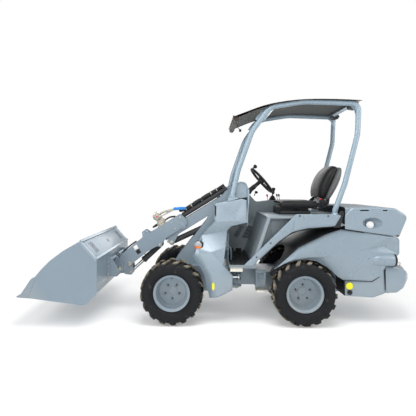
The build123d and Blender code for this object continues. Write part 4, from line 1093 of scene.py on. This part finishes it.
stem = turned("spinnerKnob",
              [(0, 8), (12, 8), (12, 20), (7, 24), (7, 30), (16, 36), (21, 46), (21, 56), (15, 66), (0, 69)],
              knobFoot, wheelAxis, 32)
dress(stem, "steering_wheel_body", "black")
boot = turned("columnBoot", [(0, -6), (34, -6), (36, 0), (31, 6), (33, 12), (28, 18), (29, 24), (24, 30),
                             (24, 90), (21, 92), (0, 92)], columnFoot, wheelAxis, 32)
dress(boot, "front_frame", "rubber")
stalkLever = tube("columnLever", [(330, -20, 1276), (326, -70, 1270), (336, -130, 1282)], 4)
stalkKnob = turned("columnKnob", [(0, 0), (7, 2), (9, 10), (8, 24), (0, 28)], (335, -124, 1281),
                   (0.15, -1, 0.2), 20)
dress(joined("columnStalk", [stalkLever, stalkKnob]), "front_frame", "black")
lever = tube("rangeLever", [(350, 120, 1180), (356, 118, 1204), (368, 116, 1216)], 5)
leverKnob = turned("rangeKnob", [(0, 0), (14, 4), (18, 14), (15, 26), (0, 30)], (366, 116, 1206),
                   (0.4, 0, 1), 24)
dress(joined("rangeStick", [lever, leverKnob]), "front_frame", "black")
print("steering wheel made")

# Driver's place: side of the seat box, swage line, grilles, openings as black blocks of painted shade, bolts,
# levers, pedal hoop, mat
consoleFace = 329.6
grilleSize = {"uprights": 9, "bars": 5, "rib": 2.6}
matSize = {"grooves": 8, "pitch": 24, "groove": 4}


def consoleSpot(x, z, lift=0.0):
    return (x, consoleFace - lift, z)


seatBox = plate("seatBoxSide", [(276, 570), (300, 570), (436, 980, 20), (800, 982, 10), (800, 905),
                                (690, 872, 20), (560, 806, 30), (400, 664, 10), (300, 572)], -330, -325, 2)
dress(seatBox, "front_frame", "console")
boltRow("seatBoxBolt", [(x, -330, z) for x, z in ((440, 930), (640, 950), (420, 800), (560, 880))],
        (0, -1, 0), 8, "front_frame")
hatch = plate("seatBoxHatch", [(452, 900, 14), (470, 950, 14), (700, 956, 14), (700, 906, 14), (620, 880, 14),
                               (540, 840, 14), (470, 800, 14)], -334, -329, 1.6)
dress(hatch, "front_frame", "console")
for start, end in (((285, 648), (357, 648)), ((357, 648), (648, 838)), ((648, 838), (717, 844))):
    ridge = tube("consoleSwage", [consoleSpot(*start, 1), consoleSpot(*end, 1)], 4.5, 3, False)
    dress(ridge, "front_frame", "console")
grilles = [[(222, 843), (264, 822), (184, 700), (142, 718)], [(310, 847), (392, 790), (318, 684), (236, 700)]]
for corners in grilles:
    backing = plate("grilleBacking", [corner + (6,) for corner in corners], 327.5, 330.5, 0.8)
    dress(backing, "front_frame", "black")
    ribs = []
    topLeft, topRight, lowRight, lowLeft = (Vector(corner) for corner in corners)
    for index in range(grilleSize["uprights"]):
        share = index / (grilleSize["uprights"] - 1)
        upper = topLeft.lerp(topRight, share)
        lower = lowLeft.lerp(lowRight, share)
        ribs.append(tube("grilleRib", [consoleSpot(*upper, 1.5), consoleSpot(*lower, 1.5)],
                         grilleSize["rib"], 2, False))
    for index in range(grilleSize["bars"]):
        share = index / (grilleSize["bars"] - 1)
        left = topLeft.lerp(lowLeft, share)
        right = topRight.lerp(lowRight, share)
        ribs.append(tube("grilleBar", [consoleSpot(*left, 1), consoleSpot(*right, 1)], grilleSize["rib"], 2,
                         False))
    dress(joined("grille", ribs), "front_frame", "console")
# Each opening is a black block on the console face: painted shade in place of a hole
for x, z, wide in ((197, 520, 66), (337, 531, 62)):
    openingShade = block("consoleOpeningShade", (x - wide / 2, 326, 546), (x + wide / 2, 330.4, z + 60), 1.5)
    dress(openingShade, "front_frame", "black")
consoleBolts = [(405, 1002), (452, 960), (542, 901), (627, 844), (515, 1066), (395, 1087), (260, 1000),
                (262, 900), (700, 1060), (690, 940)]
boltRow("consoleBolt", [consoleSpot(x, z, 0.4) for x, z in consoleBolts], (0, -1, 0), 8.5, "front_frame")
stickBoot = turned("stickBoot", [(0, 0), (44, 0), (46, 6), (38, 12), (40, 18), (32, 24), (34, 30), (25, 38),
                                 (26, 44), (16, 54), (10, 58), (0, 58)], (592, 380, 1122), (0, 0, 1), 36)
stick = tube("stickShaft", [(592, 380, 1170), (594, 380, 1196), (600, 380, 1226)], 7)
stickGrip = turned("stickGrip", [(0, 0), (13, 0), (16, 8), (17, 22), (14, 36), (18, 46), (22, 56), (20, 68),
                                 (12, 74), (0, 75)], (599, 380, 1196), (0.1, 0, 1), 28)
dress(joined("joystick", [stickBoot, stick, stickGrip]), "front_frame", "black", "control_levers")
for x, y, z, finish in ((534, 352, 1116, "red"), (645, 356, 1120, "black"), (668, 356, 1119, "black")):
    shaft = tube("leverShaft", [(x, y, z), (x - 2, y, z + 30), (x - 6, y, z + 58)], 4)
    dress(shaft, "front_frame", "chrome")
    knob = turned("leverKnob", [(0, 0), (6, 0), (9, 8), (10, 22), (7, 30), (0, 32)], (x - 5, y, z + 48),
                  (-0.12, 0, 1), 20)
    dress(knob, "front_frame", finish)
hoop = tube("pedalHoop", [(20, -190, 552), (18, -190, 650), (36, -190, 678), (66, -190, 678), (80, -190, 648),
                          (80, -190, 546)], 8)
dress(hoop, "front_frame", "frameTube")
padTop = plate("pedalRubber",
               [(62, 560, 4), (92, 600, 4), (106, 650, 6), (98, 653, 4), (84, 602, 4), (55, 564, 4)], -172,
               -90, 2)
dress(padTop, "front_frame", "rubber")
mat = block("floorMat", (54, -420, 540.2), (262, 320, 544), 1.5)
for index in range(matSize["grooves"]):
    start = 70 + index * matSize["pitch"]
    cut(mat, block("matGroove", (start, -430, 542.5), (start + matSize["groove"], 330, 546), 0))
dress(mat, "front_frame", "rubber")
cowlRim = tube("cowlRim", [(119, -328, 1166), (119, -328, 1262), (136, -328, 1310), (160, -328, 1325),
                           (206, -328, 1318), (228, -328, 1284), (236, -328, 1236), (236, -328, 1180)], 5.5)
dress(cowlRim, "front_frame", "moulded")
dress(otherSide(cowlRim, "cowlRimRight"), "front_frame", "moulded")
flange = plate("cowlFlange", [(222, 1253, 14), (238, 1254, 10), (238, 1160), (232, 1100, 60), (222, 935, 6),
                              (212, 935), (222, 1100, 60)], -416, -408, 2)
dress(flange, "front_frame", "moulded")
dress(otherSide(flange, "cowlFlangeRight"), "front_frame", "moulded")
print("driver's place made")

# Steps: folded alloy treads with holes and a toothed lip, a rubber roller at the front, and the lower step
stepSize = {"front": 52, "rear": 168, "outer": -498, "inner": -431, "top": 518, "sheet": 4, "teeth": 14,
            "pitch": 8.3, "toothHeight": 4, "holeRadius": 5.5, "lowerTeeth": 9, "lowerPitch": 11.5}
front, rear, top, pitch = (stepSize[key] for key in ("front", "rear", "top", "pitch"))
tread = block("upperTread", (front, stepSize["outer"], top - stepSize["sheet"]),
              (rear, stepSize["inner"], top), 1)
for x, y in [(front + 14 + 18 * index, stepSize["outer"] + 16 + 22 * row)
             for index in range(6) for row in range(3)]:
    cut(tread, pin("hole", (x, y, top - 10), (x, y, top + 10), stepSize["holeRadius"], 0.5, 10))
teeth = [(front, 506)]
for index in range(stepSize["teeth"]):
    teeth += [(front + pitch * index, top), (front + pitch * index + 4.2, top + stepSize["toothHeight"])]
teeth += [(rear, top), (rear, 496), (front, 496)]
lip = plate("treadLip", teeth, -502, -497, 0.6)
rearFold = block("treadRear", (front, -440, 480), (rear, -431, 516), 1)
dress(joined("upperStep", [tread, lip, rearFold]), "front_frame", "tread", "step_treads")
roller = pin("stepRoller", (46, -500, 508), (46, -431, 508), 11, 2)
dress(roller, "front_frame", "rubber")
lower = []
for index in range(stepSize["lowerTeeth"]):
    start = 306 + stepSize["lowerPitch"] * index
    tooth = [(start, 299), (start + 5, 305), (start + 10.5, 299)]
    lower.append(plate("lowerTooth", tooth, -418, -334, 0.4))
lowerTray = block("lowerTray", (303, -420, 284), (404, -300, 299.6), 2)
dress(joined("lowerStep", lower + [lowerTray]), "rear_frame", "tread", "rear_step")
toolLid = plate("toolLid", [(314, 312, 8), (404, 312, 8), (404, 468, 8), (314, 468, 8)], -334.5, -329.8, 1.5)
for z in (430, 410, 390):
    cut(toolLid, block("louvre", (332, -340, z), (386, -325, z + 7), 2))
dress(toolLid, "rear_frame", "paint")
boltRow("toolBolt", [(x, -334.4, z) for z in (318, 462) for x in (320, 398)], (0, -1, 0), 6, "rear_frame")
print("steps made")

# Counterweight: a casting narrowing towards its tail, tapered above and below, with the hitch and its pin
tailLevels = [(278, 1500.5, 1560, 0.90), (290, 1500.5, 1690, 0.96), (335, 1500.5, 1768, 1.0),
              (400, 1500.5, 1806, 1.0), (450, 1500.5, 1806, 1.0), (492, 1500.5, 1760, 1.0),
              (528, 1500.5, 1700, 0.97), (537, 1500.5, 1640, 0.94)]
tailSize = {"half": 430, "corner": 9, "roundness": 0.42, "roundPower": 3.2, "hitchX": 1845}
tailRows = []
for z, front, tail, wide in tailLevels:
    row = []
    for share in (-1, -0.995, -0.93, -0.78, -0.6, -0.3, 0, 0.3, 0.6, 0.78, 0.93, 0.995, 1):
        reach = 1 - tailSize["roundness"] * abs(share) ** tailSize["roundPower"] if abs(share) < 0.999 else 0
        row.append((front + (tail - front) * reach, tailSize["half"] * wide * share, z))
    tailRows.append(row)
mass = rounded(closedEnds(skin("counterweight", tailRows)), tailSize["corner"], 3, 28)
hitchPlan = [(1770, -60), (1850, -50, 20), (1876, -20, 14), (1876, 20, 14), (1850, 50, 20), (1770, 60)]
lowEar = plate("hitchLow", hitchPlan, 360, 380, 3, "plan")
highEar = plate("hitchHigh", hitchPlan, 420, 440, 3, "plan")
dress(smooth(joined("counterweight", [mass, lowEar, highEar]), 40), "rear_frame", "moulded", "counterweight")
hitchPin = turned("hitchPin",
                  [(0, 340), (12, 340), (12.5, 344), (12.5, 446), (20, 446), (20, 454), (12, 456), (0, 456)],
                  (tailSize["hitchX"], 0, 0), (0, 0, 1), 24)
ringPath = ((0, 456), (14, 470), (14, 492), (-14, 492), (-14, 470), (0, 456))
ringPull = tube("hitchRing", [(tailSize["hitchX"], y, z) for y, z in ringPath], 2.6)
dress(joined("hitchPinSet", [hitchPin, ringPull]), "rear_frame", "zinc")
for side, word in bothSides:
    dot = turned(word + "WeightMark", [(0, 0), (27, 0), (26, 1.4), (0, 1.6)], (1640, side * 396, 410),
                 (0.42, side, 0), 40)
    dress(dot, "rear_frame", "yellow")
print("counterweight made")

# Boom: hoses in a bundle with sleeve and clamps, bolts, wear strips, blank plates and the caps of its pivots
boomSize = {"hoseRadius": 8.2, "hoseStart": 26, "hosePitch": 39, "hoseStations": 15, "hoseLift": 128,
            "headFace": 68}
squareToBoom = (-sin(boomSlope), 0, cos(boomSlope))
# Hoses across the boom: y, rise and phase of the sway
hosePlan = [(-30, 0, 0.0), (-18, 11, 0.7), (-5, 2, 1.5), (8, 12, 2.2), (20, 1, 3.0), (31, 10, 3.9)]
bundle = []
for y, rise, phase in hosePlan:
    route = []
    for index in range(boomSize["hoseStations"]):
        along = boomSize["hoseStart"] + index * boomSize["hosePitch"]
        sway = 3.5 * sin(along * 0.017 + phase)
        lift = boomSize["hoseLift"] + rise + 4 * sin(along * 0.023 + phase * 1.7)
        if index == boomSize["hoseStations"] - 1:
            lift += 16
        route.append(onBoom(along, lift, y * (0.86 if 200 < along < 420 else 1.08) + sway))
    bundle.append(tube("boomHose", route, boomSize["hoseRadius"], 4))
dress(joined("boomHoses", bundle), "boom", "rubber", "boom_hoses")
for start, end in ((205, 300), (318, 405)):
    sleeve = []
    for index in range(18):
        along = start + (end - start) * index / 17
        swell = 2.2 if index % 2 else 0
        sleeve.append(ring(onBoom(along, 134), squareToBoom, acrossAxis, 20 + swell, 40 + swell, 2.6, 24))
    dress(smooth(padding("hoseSleeve", sleeve, 1), 50), "boom", "rubber")
for along in (120, 190, 430, 500):
    clamp = []
    for reach, grow in ((-6, 0), (-5, 3), (5, 3), (6, 0)):
        clamp.append(ring(onBoom(along + reach, 133), squareToBoom, acrossAxis, 20 + grow, 41 + grow, 3, 24))
    dress(padding("hoseClamp", clamp, 0), "boom", "zinc")
for side in (leftSide, rightSide):
    for along, above, size in ((596, 88, 14), (700, 92, 9), (700, 16, 9), (830, 92, 9), (960, 60, 9)):
        dress(bolt("headBolt", onBoom(along, above, side * boomSize["headFace"]), (0, side, 0), size),
              "head", "zinc")
    slide = plate("headPad", boomOutline((590, -40), (590, 40), (640, 40), (640, -40)),
                  *span(side, 67.8, 72), 1.5)
    dress(slide, "head", "paint")
for along, low, high, finish in ((1135, 45, 88, "white"), (1135, -8, 38, "black")):
    blank = plate("stickerBlank", boomOutline((along, low, 3), (along, high, 3), (along + 44, high, 3),
                                              (along + 44, low, 3)), -69.2, -67.8, 0.3)
    dress(blank, "head", finish)
noseStrip = tube("headRubber", [onBoom(1119, 118, -58), onBoom(1210, 118, -58), onBoom(1312, 92, -58)], 8)
dress(noseStrip, "head", "rubber")
for side in (leftSide, rightSide):
    cap = turned("pivotCap", [(0, 0), (30, 0), (32, 3), (32, 10), (28, 14), (12, 15), (10, 20), (0, 20)],
                 (110, side * 97, 1197), (0, side, 0), 40)
    keeper = plate("pivotKeeper", [(84, 1232, 6), (136, 1232, 6), (136, 1248, 6), (84, 1248, 6)],
                   *span(side, 96.4, 104), 1.5)
    dress(joined("pivotCapSet", [cap, keeper]), "front_frame", "zinc")
    liftCap = turned("liftPinCap", [(0, 0), (18, 0), (20, 2), (20, 7), (8, 9), (0, 9)],
                     (-532, side * 50.5, 696), (0, side, 0), 32)
    dress(liftCap, "boom", "zinc")
topBar = plate("boomWear", boomOutline((70, 52.2), (70, 56), (560, 56), (560, 52.2)), -34, 34, 1)
dress(topBar, "boom", "iron")
print("boom details made")

# Hose coupling: base with its block, silver body with a red button, cast arm and the blue handle
couplingBase = plate("couplingBase",
                     boomOutline((766, 120.4, 3), (766, 132, 4), (852, 132, 4), (852, 120.4, 3)), -62, 40, 3)
upright = plate("couplingUpright", boomOutline((758, 130), (752, 170, 20), (772, 238, 16), (812, 236, 16),
                                               (838, 170, 20), (842, 130)), -30, 26, 4, segments=3)
couplingSpot = onBoom(796, 226, -30)
body = turned("couplingBody",
              [(0, 0), (36, 0), (44, 4), (47, 12), (47, 24), (40, 30), (30, 32), (26, 38), (12, 40), (0, 40)],
              couplingSpot, (0, -1, 0), 48)
dress(joined("coupling", [couplingBase, upright, body]), "head", "zinc", "hose_coupling")
button = turned("couplingButton", [(0, 38), (10, 38), (10, 43), (6, 46), (0, 46)], couplingSpot, (0, -1, 0),
                24)
dress(button, "head", "red")
armOutline = (boomOutline((800, 250, 10), (812, 214, 10), (740, 196, 20)) + [(-490, 1042, 6), (-490, 1060, 6)]
              + boomOutline((700, 236, 30)))
arm = plate("couplingArm", armOutline, -74, -56, 4, segments=3)
slot = plate("armSlot", boomOutline((752, 212, 6), (752, 224, 6), (690, 216, 6), (690, 206, 6)), -90, -40, 0)
cut(arm, slot)
dress(arm, "head", "zinc")
handle = plate("couplingHandle", [(-512, 1034, 10), (-512, 1064, 12), (-384, 1072, 14), (-384, 1040, 12)],
               -80, -50, 6, segments=3)
dress(handle, "head", "blue")
for y in (-46, -16, 14):
    plug = turned("couplingPlug", [(0, 0), (11, 0), (13, 4), (13, 22), (10, 26), (10, 44), (7, 48), (0, 48)],
                  onBoom(850, 150, y), (-cos(boomSlope), 0, -sin(boomSlope)), 20)
    dress(plug, "head", "black")
    link = tube("couplingHose", [onBoom(758, 146, y), onBoom(700, 152, y), onBoom(660, 134, y * 0.6),
                                 onBoom(640, 124, y * 0.4)], 8)
    dress(link, "head", "rubber")
    nut = turned("couplingNut", [(0, 0), (11, 0), (11, 14), (8, 16), (8, 30), (0, 30)], onBoom(762, 146, y),
                 (cos(boomSlope), 0, sin(boomSlope)), 6)
    dress(nut, "head", "zinc")
print("hose coupling made")

# Linkage: pin heads, cylinder glands and ports, and the hoses and nuts of the centre joint
for x, y, z, size, bodyName in ((-1077, 90.5, 431, 21, "bucket_assembly"), (-976, 69, 474, 21, "head"),
                                (-1123.5, 82.5, 363.6, 13, "bucket_assembly"), (-963, 51, 385, 12, "lever"),
                                (-652, 68, 672, 14, "head")):
    for side in (leftSide, rightSide):
        head = turned("pinHead", [(0, 0), (size, 0), (size, 4), (size - 3, 6), (5, 6), (4, 11), (0, 11)],
                      (x, side * y, z), (0, side, 0), 24)
        dress(head, bodyName, "zinc")


def gland(foot, head, along, radius, bodyName, y=0.0):
    axis = (Vector((head[0], 0, head[1])) - Vector((foot[0], 0, foot[1]))).normalized()
    spot = Vector((foot[0], y, foot[1])) + axis * along
    cap = turned("gland",
                 [(radius, -4), (radius + 4, 0), (radius + 4, 16), (radius + 1, 20), (radius - 10, 20)],
                 spot, axis, 32)
    dress(cap, bodyName, "iron")
    port = turned("port",
                  [(0, radius - 2), (8, radius - 2), (8, radius + 8), (6, radius + 10), (0, radius + 10)],
                  spot - axis * 30, acrossAxis.cross(axis), 12)
    dress(port, bodyName, "zinc")


gland((-652, 672), (-963, 385), 232, 30, "tilt_cylinder")
gland((-532, 696), (88, 985), 500, 29, "lift_cylinder")
for y in (86, 118, 150):
    loopHose = tube("centreHose",
                    [(-20, y, 400), (60, y * 1.05, 380), (150, y * 0.9, 350), (240, y, 372), (352, y, 396)],
                    9)
    dress(loopHose, "rear_frame", "rubber")
for z in (236, 470):
    nut = turned("centreNut", [(0, 0), (34, 0), (34, 16), (24, 20), (0, 20)],
                 (138, 0, z - (20 if z < 300 else 0)), (0, 0, 1), 6)
    dress(nut, "front_frame", "zinc")
print("linkage details made")

# Bucket: bright worn lip, bands in the paler panel paint as painted highlight, slots on the top plate as
# black plates of painted shade, side cutters and ear bolts
bucketSize = {"half": 634, "innerHalf": 606, "earY": 315, "slotPitch": 26, "slotHalf": 5}
for side, word in bothSides:
    cutter = plate(word + "SideCutter",
                   [(-1862, 277), (-1776, 273), (-1706, 436, 24), (-1724, 462, 14), (-1750, 442, 30)],
                   *span(side, 612, 638), 3)
    dress(cutter, "bucket_assembly", "paint")
    # The side band takes the paler panel paint: a painted highlight along the top plate's edge
    highlightBand = plate(word + "SideBand", [(-1147, 610, 6), (-1147, 626, 10), (-1298, 794, 8), (-1312, 783, 6),
                                        (-1312, 770, 6), (-1160, 604, 8)], *span(side, 606, 640), 3)
    dress(highlightBand, "bucket_assembly", "moulded")
    boltRow(word + "EarBolt",
            [(x, side * bucketSize["earY"], z) for x, z in ((-1128, 420), (-1126, 500), (-1138, 540))],
            (0, side, 0), 9, "bucket_assembly")


# A place down the slope of the top plate, and square to it
def onTopPlate(down, lift):
    return (-1299 + 0.672 * down + 0.741 * lift, 790 - 0.741 * down + 0.672 * lift)


topSheetPlate = plate("bucketTopSheet", [onTopPlate(22, 0.4), onTopPlate(22, 2.4), onTopPlate(206, 2.4),
                                         onTopPlate(206, 0.4)],
                      -bucketSize["innerHalf"], bucketSize["innerHalf"], 0.5)
dress(topSheetPlate, "bucket_assembly", "paint")
# The slots are thin black plates on the top sheet: painted shade where the slots would be cut
for middle, first, last, rows in ((-470, 48, 168, 4), (0, 92, 132, 3), (470, 48, 168, 4)):
    for index in range(rows):
        across = middle + bucketSize["slotPitch"] * (index - (rows - 1) / 2)
        dark = plate("topSlotShade", [onTopPlate(first, 2.2), onTopPlate(first, 3.0), onTopPlate(last, 3.0),
                                 onTopPlate(last, 2.2)],
                     across - bucketSize["slotHalf"], across + bucketSize["slotHalf"], 0.3)
        dress(dark, "bucket_assembly", "black")
lip = plate("bucketLip", [(-1878, 279, 2), (-1878, 288, 3), (-1800, 292, 4), (-1770, 288), (-1770, 274)],
            -bucketSize["half"], bucketSize["half"], 1.2)
dress(lip, "bucket_assembly", "worn")
# The two bands on the top plate take the paler panel paint: painted highlight
for along in (0.02, 0.96):
    x = -1296 + along * 148
    z = 786 - along * 166
    band = plate("topPlateBandHighlight",
                 [(x - 12, z + 14, 3), (x - 3, z + 20, 4), (x + 16, z + 1, 4), (x + 6, z - 6, 3)],
                 -bucketSize["half"], bucketSize["half"], 2)
    dress(band, "bucket_assembly", "moulded")
print("bucket details made")

# Pale floor, soft lamps and the camera at the photograph's place
imageSize = 416
shot = {"x": -152, "y": -3900, "z": 1266, "yaw": 0.03, "focal": 368, "acrossPixel": 197, "upPixel": 188}
cameraData = bpy.data.cameras.new("camera")
camera = bpy.data.objects.new("camera", cameraData)
bpy.context.scene.collection.objects.link(camera)
bpy.context.scene.camera = camera
cameraData.sensor_width = 36
cameraData.lens = 36 * shot["focal"] / imageSize
cameraData.shift_x = (imageSize / 2 - shot["acrossPixel"]) / imageSize
cameraData.shift_y = (shot["upPixel"] - imageSize / 2) / imageSize
cameraData.clip_end = 100
camera.location = place(shot["x"], shot["y"], shot["z"])
camera.rotation_euler = (pi / 2, 0, shot["yaw"])

bpy.ops.mesh.primitive_plane_add(size=60)
floor = bpy.context.object
floor.name = "floor"
floorPaint = Finish("paleFloor")
away = floorPaint.add("VectorMath", {"operation": "LENGTH"}, floorPaint.coordinates(), out="Value")
far = floorPaint.ramp(away, 1.6, 3.4)
floorPaint.surface(Base_Color=floorPaint.mix(far, grey(0.78), grey(0.02)), Roughness=0.95,
                   Specular_IOR_Level=0.0, Emission_Color=floorPaint.mix(far, grey(0.22), grey(1.0)),
                   Emission_Strength=1.0)
floor.data.materials.append(floorPaint.material)

world = bpy.data.worlds.new("studio")
bpy.context.scene.world = world
world.use_nodes = True
tree = world.node_tree
background = tree.nodes["Background"]
background.inputs["Color"].default_value = (1, 1, 1, 1)
path = tree.nodes.new("ShaderNodeLightPath")
shine = tree.nodes.new("ShaderNodeMath")
shine.operation = "MAXIMUM"
tree.links.new(path.outputs["Is Camera Ray"], shine.inputs[0])
tree.links.new(path.outputs["Is Transmission Ray"], shine.inputs[1])
strength = tree.nodes.new("ShaderNodeMapRange")
strength.inputs["To Min"].default_value = 0.42
strength.inputs["To Max"].default_value = 1.0
tree.links.new(shine.outputs[0], strength.inputs["Value"])
tree.links.new(strength.outputs[0], background.inputs["Strength"])

lamps = [
    {"name": "skyPanel", "at": (200, -1200, 4200), "towards": (300, 0, 800), "size": 2.6, "watts": 125},
    {"name": "sidePanel", "at": (-400, -4600, 1500), "towards": (200, 0, 700), "size": 2.2, "watts": 24},
    {"name": "frontPanel", "at": (-3200, -2600, 2600), "towards": (-200, 0, 700), "size": 2.4, "watts": 70},
    {"name": "rearPanel", "at": (3600, -1800, 2400), "towards": (400, 0, 700), "size": 2.2, "watts": 45},
    {"name": "backPanel", "at": (400, 3600, 2600), "towards": (300, 0, 900), "size": 2.6, "watts": 50},
]
for lamp in lamps:
    light = bpy.data.lights.new(lamp["name"], "AREA")
    light.size = lamp["size"]
    light.energy = lamp["watts"]
    holder = bpy.data.objects.new(lamp["name"], light)
    bpy.context.scene.collection.objects.link(holder)
    holder.location = place(*lamp["at"])
    holder.rotation_euler = (place(*lamp["towards"]) - holder.location).to_track_quat("-Z", "Y").to_euler()
bpy.context.scene.view_settings.view_transform = "Standard"
print("stage, lamps and camera ready")
